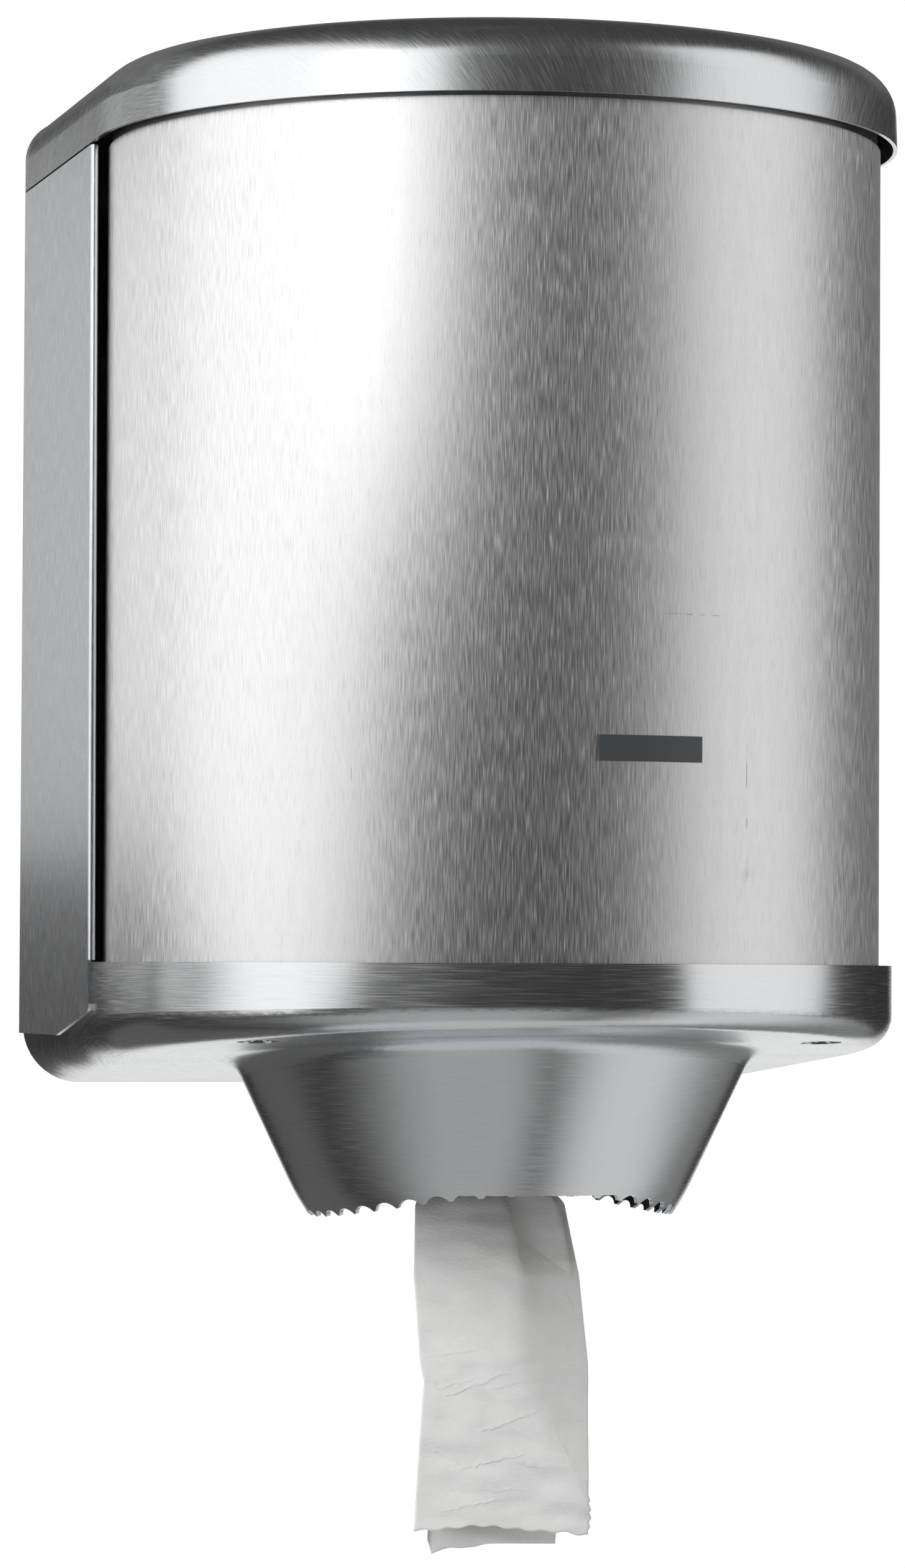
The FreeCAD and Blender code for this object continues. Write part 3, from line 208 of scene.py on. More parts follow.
def softbox(name, azimuth, size, lift, brightness, distance=BOX_DISTANCE):
    """A lamp of size (width, height) at azimuth degrees from the front, to the right, facing the roll's axis.
    Its middle is lift above the wall holes. An area lamp of brightness 1 looks white: its power is
    pi x brightness x its area."""
    lamp = bpy.data.lights.new(name, "AREA")
    lamp.shape = "RECTANGLE"
    lamp.size, lamp.size_y = size
    lamp.energy = math.pi * brightness * size[0] * size[1]
    held = bpy.data.objects.new(name, lamp)
    bpy.context.scene.collection.objects.link(held)
    a = math.radians(azimuth)
    outward = Vector((math.sin(a), -math.cos(a), 0.0))
    held.location = Vector((0.0, AXIS_Y, lift)) + outward * distance
    held.rotation_mode = "QUATERNION"
    held.rotation_quaternion = outward.to_track_quat("Z", "Y")
    held.visible_camera = False
    return held


softbox("left_softbox", azimuth=-83.0, size=(2.1, 2.2), lift=BOX_LIFT, brightness=1.36)
softbox("front_left_softbox", azimuth=-42.0, size=(0.8, 0.9), lift=0.58, brightness=1.6)
softbox("right_softbox", azimuth=RIGHT_AZIMUTH, size=RIGHT_SIZE, lift=BOX_LIFT, brightness=0.54)
right_gleam = softbox("right_gleam", azimuth=RIGHT_AZIMUTH, size=RIGHT_SIZE, lift=BOX_LIFT, brightness=0.51,
                      distance=BOX_DISTANCE + TWIN_GAP)
right_gleam.visible_diffuse = False
left_fill = softbox("left_fill", azimuth=-72.0, size=(1.2, 1.2), lift=0.30, brightness=0.62)
left_fill.visible_glossy = False

# %% [markdown]
# The object stands before a white wall. So the world is white for the camera, for mirror rays and for glass,
# and a plain grey light for everything else, which keeps the shade on the paper.

# %% Make the world
WORLD_LEVEL = 0.48
WHITE = (1.0, 1.0, 1.0, 1.0)

world = bpy.data.worlds.new("white_wall")
bpy.context.scene.world = world
world.use_nodes = True
world_tree = world.node_tree
world_tree.nodes.clear()


def not_by_soft_light(tree):
    """1 for a ray from the camera, a mirror or glass, and 0 for the soft light that a matt surface takes."""
    rays = node(tree, "LightPath").outputs
    return maths(tree, "MAXIMUM", rays["Is Camera Ray"],
                 maths(tree, "MAXIMUM", rays["Is Glossy Ray"], rays["Is Transmission Ray"]))


level = node(world_tree, "MapRange", {"Value": not_by_soft_light(world_tree),
                                      "To Min": WORLD_LEVEL, "To Max": 1.0}).outputs[0]
glow = node(world_tree, "Background", {"Color": WHITE, "Strength": level})
node(world_tree, "OutputWorld", {"Surface": glow.outputs[0]})
print("light on matt surfaces:", WORLD_LEVEL)

# %% [markdown]
# Nearly every surface of this lesson is a grid of points from a formula, with four-sided faces between them.
# `ease` is the soft step from which many of the formulas are made.

# %% Helpers for meshes


def add_mesh(name, points, faces):
    """A smooth mesh object from rows of points and faces."""
    mesh = bpy.data.meshes.new(name)
    mesh.from_pydata(np.asarray(points, float).tolist(), [], np.asarray(faces, int).tolist())
    mesh.shade_smooth()
    made = bpy.data.objects.new(name, mesh)
    bpy.context.scene.collection.objects.link(made)
    return made


def grid_faces(rows, columns, closed=False):
    """Faces of a grid of points numbered row by row. A closed grid joins its last column to the first."""
    i, j = np.meshgrid(np.arange(rows - 1), np.arange(columns if closed else columns - 1), indexing="ij")
    k = (j + 1) % columns
    return np.stack([i * columns + j, i * columns + k, (i + 1) * columns + k, (i + 1) * columns + j],
                    axis=-1).reshape(-1, 4)


def ease(value, start, end):
    """0 before start, 1 after end, and a smooth step between."""
    share = np.clip((value - start) / (end - start), 0.0, 1.0)
    return share * share * (3.0 - 2.0 * share)


# %% [markdown]
# Grey cloths hang round the dispenser, and only mirror rays meet them. Lamps so near could not light a cloth
# evenly, so it shines by itself, as brightly as its grey says, and lights nothing.

# %% Make the cloth
screen_cloth, cloth_tree, cloth_shader = blank_material("screen_cloth")
cloth_shader.inputs["Base Color"].default_value = (0.0, 0.0, 0.0, 1.0)
cloth_shader.inputs["Specular IOR Level"].default_value = 0.0
cloth_shader.inputs["Emission Color"].default_value = WHITE
cloth_tree.links.new(node(cloth_tree, "Attribute", attribute_name="grey").outputs["Fac"],
                     cloth_shader.inputs["Emission Strength"])
screen_cloth.cycles.emission_sampling = "NONE"


def curtain(name, degrees, rows, grey):
    """A curtain round the roll's axis. At azimuth a, each row of it lies at height h and at reach r from the
    axis, so its point is r x (sin a, -cos a). It shines with grey, one number or one for each azimuth."""
    azimuth = np.radians(degrees)
    points = np.stack([np.stack([np.sin(azimuth) * reach, AXIS_Y - np.cos(azimuth) * reach,
                                 np.full_like(azimuth, height)], axis=-1) for height, reach in rows])
    made = add_mesh(name, points.reshape(-1, 3), grid_faces(len(rows), len(azimuth)))
    shine = made.data.attributes.new("grey", "FLOAT", "POINT")
    shine.data.foreach_set("value", np.tile(np.full_like(azimuth, grey), len(rows)))
    made.data.materials.append(screen_cloth)
    made.visible_camera = False
    made.visible_diffuse = False
    made.visible_shadow = False
    made.visible_transmission = False
    return made


def azimuths(start, end, step=2.0):
    """Azimuths from start to end, step degrees apart."""
    return np.linspace(start, end, int(round((end - start) / step)) + 1)


# %% [markdown]
# The funnel mirrors the floor in front of it: black on the far left, grey towards the middle, a darker strip
# just right of the middle and pale on the right. A ring of cloth on the floor carries these greys, and they
# change slowly with azimuth, because a drawn funnel shows no hard edges. The door, the cap and the bowl
# mirror a dark wall between the lamps.

# %% Hang the curtains in front
SCREEN_RADIUS = 2.6
CLOTH_INNER = 0.3
FLOOR_CLOTH_Z = -0.86
WALL_TOP = 0.62
WALL_GREY = 0.03
FRONT_FROM, FRONT_TO = -124.0, 150.0
# The floor cloth's grey on the far left, its changes from there on, and its darker strip
FLOOR_BLACK = 0.045
MIDDLE_RISE, RIGHT_RISE, FAR_FALL = 0.42, 0.32, 0.55
STRIP_DEPTH, STRIP_AZIMUTH, STRIP_WIDTH = 0.29, 17.0, 12.0

around = azimuths(FRONT_FROM, FRONT_TO)
strip = STRIP_DEPTH * np.exp(-((around - STRIP_AZIMUTH) / STRIP_WIDTH) ** 2)
floor_grey = (FLOOR_BLACK + MIDDLE_RISE * ease(around, -114.0, -38.0) - strip
              + RIGHT_RISE * ease(around, 22.0, 56.0) - FAR_FALL * ease(around, 74.0, 122.0))
floor_rows = [(FLOOR_CLOTH_Z, CLOTH_INNER), (FLOOR_CLOTH_Z, SCREEN_RADIUS)]
curtain("floor_cloth", around, floor_rows, floor_grey)
curtain("dark_wall", around, [(FLOOR_CLOTH_Z, SCREEN_RADIUS), (WALL_TOP, SCREEN_RADIUS)], WALL_GREY)
print("floor cloth's greys:", floor_grey.min().round(3), "to", floor_grey.max().round(3))

# %% [markdown]
# The flat left flange mirrors a pale cloth that stands behind the dispenser on its left, and a dark one below
# it. A low flag before the left lamps hides their feet from the mirrors, so that the bowl's left side stays
# dark. A grey roof closes the studio, and a paler cloth hangs high behind the dispenser, where surfaces that
# face upwards mirror it.

# %% Hang the curtains behind and above
LOW_TOP = -0.04
REAR_FLOOR_GREY = 0.12
SIDE_GREY = 0.30
# The flag's reach, its base height, and how much its edge rises from there to the rear and to the front
FLAG_RADIUS = 1.42
FLAG_BASE, FLAG_REAR_RISE, FLAG_FRONT_RISE = -0.55, 0.45, 0.42
# Behind, the roof hangs this much below the wall's top
EAVES_DROP = 0.09
# Heights and reaches of the roof's other rows and of the ceiling's
ROOF_ROWS = [(2.2, SCREEN_RADIUS), (2.6, 1.8), (2.8, 0.05)]
ROOF_GREY = 0.06
CEILING_ROWS = [(0.8, 2.4), (2.0, 2.4)]
CEILING_GREY = 0.17

behind = azimuths(-180.0, FRONT_FROM)
curtain("rear_floor_cloth", behind, floor_rows, REAR_FLOOR_GREY)
curtain("low_wall", behind, [(FLOOR_CLOTH_Z, SCREEN_RADIUS), (LOW_TOP, SCREEN_RADIUS)], WALL_GREY)
on_the_left = azimuths(-206.0, -158.0)
curtain("pale_side", on_the_left, [(LOW_TOP, SCREEN_RADIUS), (WALL_TOP, SCREEN_RADIUS)], SIDE_GREY)
before_lamp = azimuths(-126.0, -44.0, step=1.0)
flag_top = (FLAG_BASE + FLAG_REAR_RISE * (1.0 - ease(before_lamp, -105.0, -76.0))
            + FLAG_FRONT_RISE * ease(before_lamp, -84.0, -48.0))
curtain("low_flag", before_lamp, [(FLOOR_CLOTH_Z, FLAG_RADIUS), (flag_top, FLAG_RADIUS)], WALL_GREY)
under_roof = azimuths(-180.0, 180.0, step=3.0)
eaves = WALL_TOP - EAVES_DROP * (1.0 - ease(under_roof, -130.0, -118.0) + ease(under_roof, 150.0, 158.0))
curtain("grey_roof", under_roof, [(eaves, SCREEN_RADIUS)] + ROOF_ROWS, ROOF_GREY)
curtain("pale_ceiling", azimuths(130.0, 230.0), CEILING_ROWS, CEILING_GREY)
print("lowest edge of the flag:", flag_top.min().round(3))

# %% [markdown]
# The floor is pale and far below, as it is under a dispenser on a wall. With distance it turns into light of
# the same white as the world, so that no line shows where the two meet, and the shadow still falls on it.

# %% Lay the floor
FLOOR_Z = -0.9
FLOOR_RADIUS = 5.0
FLOOR_RINGS = (0.001, 0.1, 0.2, 0.4, 1.0)
FLOOR_COLUMNS = 96
FLOOR_COLOUR = (0.80, 0.82, 0.85)
FADE_FROM, FADE_TO = 1.1, 1.9

turn = np.linspace(0.0, 2.0 * np.pi, FLOOR_COLUMNS, endpoint=False)
rings = np.array(FLOOR_RINGS) * FLOOR_RADIUS
floor_points = np.stack([np.outer(rings, np.sin(turn)), AXIS_Y + np.outer(rings, np.cos(turn)),
                         np.full((len(rings), FLOOR_COLUMNS), FLOOR_Z)], axis=-1).reshape(-1, 3)
floor = add_mesh("floor", floor_points, grid_faces(len(rings), FLOOR_COLUMNS, closed=True)[:, ::-1])
floor_material, floor_tree, floor_shader = blank_material("pale_floor")
floor_at = object_place(floor_tree)
floor_reach = node(floor_tree, "VectorMath", {0: floor_at}, operation="LENGTH").outputs["Value"]
far = node(floor_tree, "MapRange", {"Value": floor_reach, "From Min": FADE_FROM, "From Max": FADE_TO},
           interpolation_type="SMOOTHSTEP").outputs[0]
near = minus(floor_tree, 1.0, far)
floor_tree.links.new(scaled(floor_tree, FLOOR_COLOUR, near), floor_shader.inputs["Base Color"])
floor_tree.links.new(times(floor_tree, not_by_soft_light(floor_tree), far),
                     floor_shader.inputs["Emission Strength"])
floor_shader.inputs["Roughness"].default_value = 0.9
floor_shader.inputs["Specular IOR Level"].default_value = 0.0
floor_shader.inputs["Emission Color"].default_value = WHITE
floor.data.materials.append(floor_material)
print("the floor's faces:", len(floor.data.polygons))

# %% [markdown]
# The paper is a thin sheet about 205 mm wide. It peels off the inside of the roll, is gathered into a rope
# by the neck of the feed nozzle, and opens again below it into a web of four layers. A cloth simulation
# could drop a sheet through the funnel, but its folds would fall where they like. Here the folds are known
# from the photograph, so the sheet is worked out instead: at every height a section, first a star of pleats
# and then a flat zigzag, joined into one surface. Where the paper shows, a section is about as long as the
# sheet is wide. It is shorter inside the nozzle and the funnel, where the star opens.

# %% Work out the sections of the rope
RIM_Z = -0.120
SHEET_WIDTH = 0.205
SHEET_THICKNESS = 0.00022
ROPE_PLEATS = 11
ROPE_RADIUS = 0.0095
ROPE_CORE = 0.0006
# The star's turn on its way down, in radians, and the share of a round that the sheet fills
ROPE_TWIST = 2.0
SHEET_WRAP = 0.985
# The pleats are spaced on a ring this much narrower, and a sharpness of 1 would not round them
RING_INSET = 0.005
PLEAT_SHARPNESS = 0.98
PEEL_RADIUS = 0.0293
PEEL_TOP = 0.0565
PEEL_FOOT = 0.0153
NECK_FOOT = -0.0528
WEB_TOP = -0.072
WEB_END = -0.1662


def pleated_star(share, height):
    """Sections of the rope. Round the section the radius swings between an outer and an inner one, a pleat
    each time; the inner radius would keep the section as long as the sheet is wide, but it never falls below
    the core's."""
    outer = PEEL_RADIUS + (ROPE_RADIUS - PEEL_RADIUS) * ease(height, PEEL_TOP, PEEL_FOOT)
    half_pleat = SHEET_WIDTH / (2.0 * ROPE_PLEATS)
    step = math.pi * (2.0 * outer - RING_INSET) / (2.0 * ROPE_PLEATS)
    inner = np.maximum(outer - np.sqrt(np.maximum(half_pleat ** 2 - step ** 2, 1e-7)), ROPE_CORE)
    swing = np.arcsin(np.cos(2.0 * math.pi * ROPE_PLEATS * share) * PLEAT_SHARPNESS) / math.pi + 0.5
    radius = inner + (outer - inner) * swing
    turn = 2.0 * math.pi * share * SHEET_WRAP + ROPE_TWIST * ease(height, PEEL_TOP, NECK_FOOT)
    return radius * np.sin(turn), radius * np.cos(turn)


print("length of the sheet, mm:", round((PEEL_TOP - WEB_END) * 1000.0, 1))

# %% [markdown]
# The web's layer in front is the one that the photograph shows. Its crowned left panel ends in a pleat, with
# a flatter panel behind it. Lower down the pleat opens into a soft ridge, from which the paper falls off to
# both sides. The three layers behind it show only at the edges and at the torn foot.

# %% Work out the front of the web
WEB_TURN = math.radians(12.0)
# Places down the web, its left and right edges there, and where its front fold runs, in metres
EDGE_PLACES = np.array([-0.172, -0.1675, -0.163, -0.155, -0.1302, -0.1232, -0.1176, -0.092, -0.0705, -0.05])
LEFT_EDGE = np.array([-0.0233, -0.0232, -0.0229, -0.0225, -0.0210, -0.0203, -0.0216, -0.0234, -0.0230,
                      -0.018])
RIGHT_EDGE = np.array([0.0298, 0.0302, 0.0308, 0.0300, 0.0302, 0.0303, 0.0302, 0.0276, 0.0233, 0.018])
FOLD_LINE = np.array([0.0330, 0.0320, 0.0312, 0.0297, 0.0152, 0.0138, 0.0130, 0.0112, -0.0013, -0.004])
# The pleat at its top, and how much softer and shallower it grows on the way down, in metres
OVERLAP, OVERLAP_REACH = 0.0060, 2.3
SHARPEST_FOLD, FOLD_SOFTENS = 0.0009, 0.0040
FOLD_STEP, STEP_SHRINKS = 0.0062, 0.0048
# The ridge below it: its height, how far and how quickly the paper falls off to the left, and the right slope
RIDGE_HEIGHT, LEFT_FALL, LEFT_FALL_LENGTH, RIGHT_SLOPE = 0.0098, 0.0092, 0.026, 0.56
PANEL_DEPTH, CROWN = 0.0024, 0.0014
TOOTH_DEPTH, TOOTH_WAVE = 0.00035, 2300.0


def down_the_web(height, values):
    """A value at each height, read along straight lines between its known places."""
    return np.interp(height, EDGE_PLACES, values)


def front_layer(share, height):
    """Across and depth of the front layer. With u the distance from the fold over its softness, the sheet
    runs back under itself as u exp(-u^2 / 2) and steps back as tanh u. The overlap dies out further down."""
    left, right = down_the_web(height, LEFT_EDGE), down_the_web(height, RIGHT_EDGE)
    fold = down_the_web(height, FOLD_LINE)
    overlap = OVERLAP * (1.0 - ease(-height, 0.066, 0.094))
    softness = SHARPEST_FOLD + FOLD_SOFTENS * ease(-height, 0.078, 0.118)
    step = FOLD_STEP - STEP_SHRINKS * ease(-height, 0.075, 0.15)
    along = left + (right - left) * share
    from_fold = (along - fold) / softness
    across = along - overlap * OVERLAP_REACH * from_fold * np.exp(-0.5 * from_fold ** 2)
    past = np.sqrt((along - fold) ** 2 + softness ** 2) - softness
    ridge = np.where(along < fold, LEFT_FALL * (1.0 - np.exp(-past / LEFT_FALL_LENGTH)), RIGHT_SLOPE * past)
    swell = ease(-height, 0.060, 0.105) * (0.6 + 0.4 * ease(height, -0.172, -0.150))
    bulge = np.clip((along - left) / np.maximum(fold - left, 0.012), 0.0, 1.0)
    depth = (PANEL_DEPTH + swell * (RIDGE_HEIGHT - ridge) + CROWN * np.sin(math.pi * bulge)
             - 0.5 * step * (1.0 + np.tanh(from_fold)))
    # Small teeth on the right edge, just above the torn foot
    teeth = TOOTH_DEPTH * np.sin(height * TOOTH_WAVE) * ease(share, 0.93, 0.98) * ease(-height, 0.154, 0.158)
    return across + teeth, depth


# %% [markdown]
# Three more layers of the web lie behind the front one. Only their edges show, so each is a plain strip that
# bows a little.

# %% Work out the whole web
# Each hidden layer: how far inside the web it starts and how far it runs, as shares of the web's width
BEHIND_LEFT, MIDDLE, REAR = (0.06, 0.90), (0.012, 0.90), (0.09, 0.745)
# Their depths, and how much each bows or waves, in metres
BEHIND_DEPTH, BEHIND_WAVE = -0.0004, 0.0006
MIDDLE_DEPTH, MIDDLE_BOW, MEETS_THE_EDGE = -0.0028, 0.0012, 0.0010
REAR_DEPTH, REAR_BOW = -0.0044, 0.0014


def folded_web(layers, share, height):
    """Sections of the web, as a zigzag of layers. Each point knows its layer and how far along it it lies."""
    left, right = down_the_web(height, LEFT_EDGE), down_the_web(height, RIGHT_EDGE)
    width = right - left
    front = front_layer(share, height)
    behind_left = (left + BEHIND_LEFT[0] * width + BEHIND_LEFT[1] * width * (1.0 - share),
                   BEHIND_DEPTH + BEHIND_WAVE * np.sin(7.0 * share))
    edge_depth = front_layer(np.ones_like(share), height)[1]
    middle = (right - MIDDLE[0] * width - MIDDLE[1] * width * share,
              MIDDLE_DEPTH - MIDDLE_BOW * np.sin(math.pi * share)
              + (edge_depth + MEETS_THE_EDGE) * (1.0 - share) ** 8)
    rear = (left + REAR[0] * width + REAR[1] * width * share,
            REAR_DEPTH - REAR_BOW * np.sin(math.pi * share))
    across = np.choose(layers, [behind_left[0], front[0], middle[0], rear[0]])
    depth = np.choose(layers, [behind_left[1], front[1], middle[1], rear[1]])
    return across, depth


# Columns across the sheet: layer by layer, closer together on the one at the front
LAYER_COLUMNS = (26, 92, 30, 30)
LAYER_WIDTHS = (0.048, 0.056, 0.052, 0.049)
layer_of = np.concatenate([np.full(n, i) for i, n in enumerate(LAYER_COLUMNS)])
share_of = np.concatenate([np.linspace(0.02, 0.98, n) for n in LAYER_COLUMNS])
layer_ends = np.cumsum((0.0,) + LAYER_WIDTHS) / SHEET_WIDTH
sheet_share = layer_ends[layer_of] + (layer_ends[layer_of + 1] - layer_ends[layer_of]) * share_of
print("columns across the sheet:", len(sheet_share))

# %% [markdown]
# The foot of the sheet was torn off on the scalloped mouth, so its layers end at different heights, and the
# right corner has small teeth. Soft waves run down and across the web.

# %% Lay the sheet
ROWS_ROPE, ROWS_WEB = 46, 176


def torn_foot(layers, share, across):
    """The height at which each column of the sheet ends: the front layer nearly level, with a low hump and a
    dip at its right, the rear one longer, with a lobe, and the two hidden ones a little shorter."""
    front = (WEB_END - 0.0012 + 0.0016 * np.exp(-((across + 0.002) / 0.012) ** 2)
             - 0.0009 * ease(across, 0.02, 0.03) + 0.0003 * np.sin(across * 900.0))
    lobe = 0.0008 * np.exp(-((across + 0.0055) / 0.0042) ** 4)
    rear = WEB_END + 0.002 - ease(share, 0.0, 0.035) * (0.0078 + 0.0042 * (1.0 - share) ** 6 + lobe)
    hidden = np.full_like(across, WEB_END + 0.0015)
    return np.choose(layers, [hidden, front, hidden, rear])


rope_height = np.linspace(PEEL_TOP, NECK_FOOT, ROWS_ROPE, endpoint=False)[:, None]
web_share = np.linspace(0.0, 1.0, ROWS_WEB)[:, None]
flat_across = folded_web(layer_of[None, :], share_of[None, :], np.full((1, 1), WEB_END))[0]
foot = torn_foot(layer_of, share_of, flat_across[0])[None, :]
web_height = NECK_FOOT + (foot - NECK_FOOT) * web_share
height = np.concatenate([rope_height + np.zeros_like(foot), web_height])
layers = np.broadcast_to(layer_of, height.shape)
shares = np.broadcast_to(share_of, height.shape)
star = pleated_star(sheet_share[None, :], height)
web = folded_web(layers, shares, height)
opened = ease(height, NECK_FOOT, WEB_TOP)
across = star[0] * (1.0 - opened) + web[0] * opened
toward = star[1] * (1.0 - opened) + web[1] * opened
slow_wave = 0.0005 * np.sin(height * 210.0 + across * 60.0)
to_and_fro = 0.0010 * np.sin(height * 61.0 + 1.0) * (across / 0.027)
ripple = 0.0003 * np.sin(height * 690.0 + across * 160.0) * ease(-height, 0.11, 0.13)
toward = toward + opened * (slow_wave + to_and_fro + ripple)
paper_points = np.stack([across * math.cos(WEB_TURN) - toward * math.sin(WEB_TURN),
                         AXIS_Y - across * math.sin(WEB_TURN) - toward * math.cos(WEB_TURN),
                         RIM_Z + height], axis=-1)
towel = add_mesh("paper_towel", paper_points.reshape(-1, 3), grid_faces(*height.shape))
thick = towel.modifiers.new("thickness", "SOLIDIFY")
thick.thickness = SHEET_THICKNESS
thick.offset = 0.0
section_widths = np.linalg.norm(np.diff(paper_points, axis=1), axis=-1).sum(1)
print("sheet's width down its length, mm:", np.round(section_widths[::30] * 1000.0, 1))
print("lowest point of the paper:", paper_points[..., 2].min())

# %% [markdown]
# Brushing leaves fine parallel grooves. Across a groove the surface tips this way and that, so light spreads
# across the grooves, while along them it stays sharp. The Principled shader's anisotropy does this once it
# is told the grooves' direction. The door and the flanges were brushed upright, the bowl round its axis while
# it turned, and the cap as a flat sheet before it was drawn.

# %% Find the grooves' directions
CAP_TOP = 0.1444
CAP_LIE = math.radians(18.0)
DOOR_RADIUS = 0.115
BOWL_MIDDLE_RADIUS = 0.09
UPWARD = (0.0, 0.0, 1.0)


def length_of(tree, x, y):
    """Square root of x^2 + y^2."""
    return maths(tree, "SQRT", plus(tree, times(tree, x, x), times(tree, y, y)))


def spot(tree):
    """x, y, z of a point, its distance from the roll's axis, and how far round the axis it is, in radians."""
    x, y, z = node(tree, "SeparateXYZ", {0: object_place(tree)}).outputs
    y = minus(tree, y, AXIS_Y)
    return x, y, z, length_of(tree, x, y), maths(tree, "ARCTAN2", x, times(tree, y, -1.0))


def drawn_grooves(tree, x, y, z):
    """A point of the cap is laid back into the flat sheet: what its wall drops below the top lay further out.
    Behind the axis the wall is flat and faces sideways."""
    front_y = maths(tree, "MINIMUM", y, 0.0)
    reach = length_of(tree, x, front_y)
    out_x, out_y = over(tree, x, reach), over(tree, front_y, reach)
    drop = minus(tree, CAP_TOP, z)
    flat_x = maths(tree, "MULTIPLY_ADD", drop, out_x, x)
    flat_y = maths(tree, "MULTIPLY_ADD", drop, out_y, y)
    way_x, way_y = math.sin(CAP_LIE), -math.cos(CAP_LIE)
    along = plus(tree, times(tree, flat_x, way_x), times(tree, flat_y, way_y))
    across = minus(tree, times(tree, flat_y, way_x), times(tree, flat_x, way_y))
    outward = plus(tree, times(tree, out_x, way_x), times(tree, out_y, way_y))
    return across, along, combine(tree, way_x, way_y, times(tree, outward, -1.0))


def grooves(tree, lie):
    """A distance across the grooves, one along them, and their direction, for one way of brushing."""
    x, y, z, radius, angle = spot(tree)
    if lie == "upright_round":
        return times(tree, angle, DOOR_RADIUS), z, combine(tree, *UPWARD)
    if lie == "upright_flat":
        return plus(tree, y, x), z, combine(tree, *UPWARD)
    if lie == "round":
        return (plus(tree, radius, z), times(tree, angle, BOWL_MIDDLE_RADIUS),
                combine(tree, times(tree, y, -1.0), x, 0.0))
    return drawn_grooves(tree, x, y, z)


# %% [markdown]
# The streaks that the eye sees are noise squashed along the grooves, at a fine and a coarser scale: they
# change the colour, the roughness and, slightly, the tilt. A door in use also gathers faint scratches and
# rubbed spots. Each is drawn as a line with soft ends, and noise breaks it into dashes.

# %% Helpers for streaks and marks
DASHES_PER_METRE = 260.0
DASH_FROM, DASH_TO = 0.42, 0.56


def streaks(tree, across, along, width, length):
    """Noise whose grains are width wide and length long."""
    squashed = combine(tree, over(tree, across, width), 0.0, over(tree, along, length))
    return noise(tree, squashed, 1.0, 1.0)


def drawn_line(tree, place, unrest, ends, width):
    """1 on a line from one end to the other (x, z), and 0 away from it: exp(-(distance / width)^2) x
    exp(-(2 x share along it - 1)^4). unrest is added to the distance, so that the line wavers."""
    x0, z0, x1, z1 = ends
    length = math.hypot(x1 - x0, z1 - z0)
    way = ((x1 - x0) / length, 0.0, (z1 - z0) / length)
    side = (-way[2], 0.0, way[0])
    from_end = node(tree, "VectorMath", {0: place, 1: (x0, 0.0, z0)}, operation="SUBTRACT").outputs[0]
    along = node(tree, "VectorMath", {0: from_end, 1: way}, operation="DOT_PRODUCT").outputs["Value"]
    away = node(tree, "VectorMath", {0: from_end, 1: side}, operation="DOT_PRODUCT").outputs["Value"]
    wavering = over(tree, plus(tree, away, unrest), width)
    from_middle = maths(tree, "MULTIPLY_ADD", along, 2.0 / length, -1.0)
    fade = plus(tree, times(tree, wavering, wavering), maths(tree, "POWER", from_middle, 4.0))
    return maths(tree, "EXPONENT", times(tree, fade, -1.0))


def wear(tree, place, marks):
    """Sum of faint scratches and rubbed spots (both ends, width, strength), broken into dashes by noise."""
    dashes = node(tree, "MapRange", {"Value": noise(tree, place, DASHES_PER_METRE, 1.0),
                                     "From Min": DASH_FROM, "From Max": DASH_TO}).outputs[0]
    total = 0.0
    for *ends, width, strength in marks:
        mark = times(tree, drawn_line(tree, place, 0.0, ends, width), strength)
        total = plus(tree, mark, total)
    return times(tree, total, dashes)


# %% [markdown]
# One recipe serves all the brushed pieces. They differ in the way they were brushed, in how fine the grooves
# are and in how much these show. Drawing leaves the bowl and the cap slightly uneven over a few centimetres:
# too little to see in their outline, but enough to bend what they mirror.

# %% Make the brushed steels
STEEL = (0.67, 0.68, 0.69)
FINE_SHARE, COARSE_SHARE, DRIFT_SHARE = 0.6, 0.4, 0.08
# How much wider and longer than the fine grooves the coarse ones and the slow drift are
COARSE_WIDER, COARSE_LONGER = 2.1, 1.2
DRIFT_WIDER, DRIFT_LONGER = 14.0, 2.2
# The noise's levels in the ground and in the deepest grooves
GROUND, DEEPEST = 0.33, 0.77
SWELLS_PER_METRE = 20.0
# Marks on the door: both ends (distance round the door, height), width and strength, lengths in metres
DOOR_MARKS = ((0.0474, -0.0505, 0.0477, -0.0985, 0.00016, 0.5),
              (0.0213, -0.0222, 0.0384, -0.0222, 0.00014, 0.5),
              (0.0440, -0.0950, 0.0500, -0.0965, 0.0030, 0.10),
              (-0.0700, -0.0655, -0.0698, -0.0700, 0.00016, 0.3),
              (0.0650, 0.0420, 0.0655, 0.0330, 0.00014, 0.25))


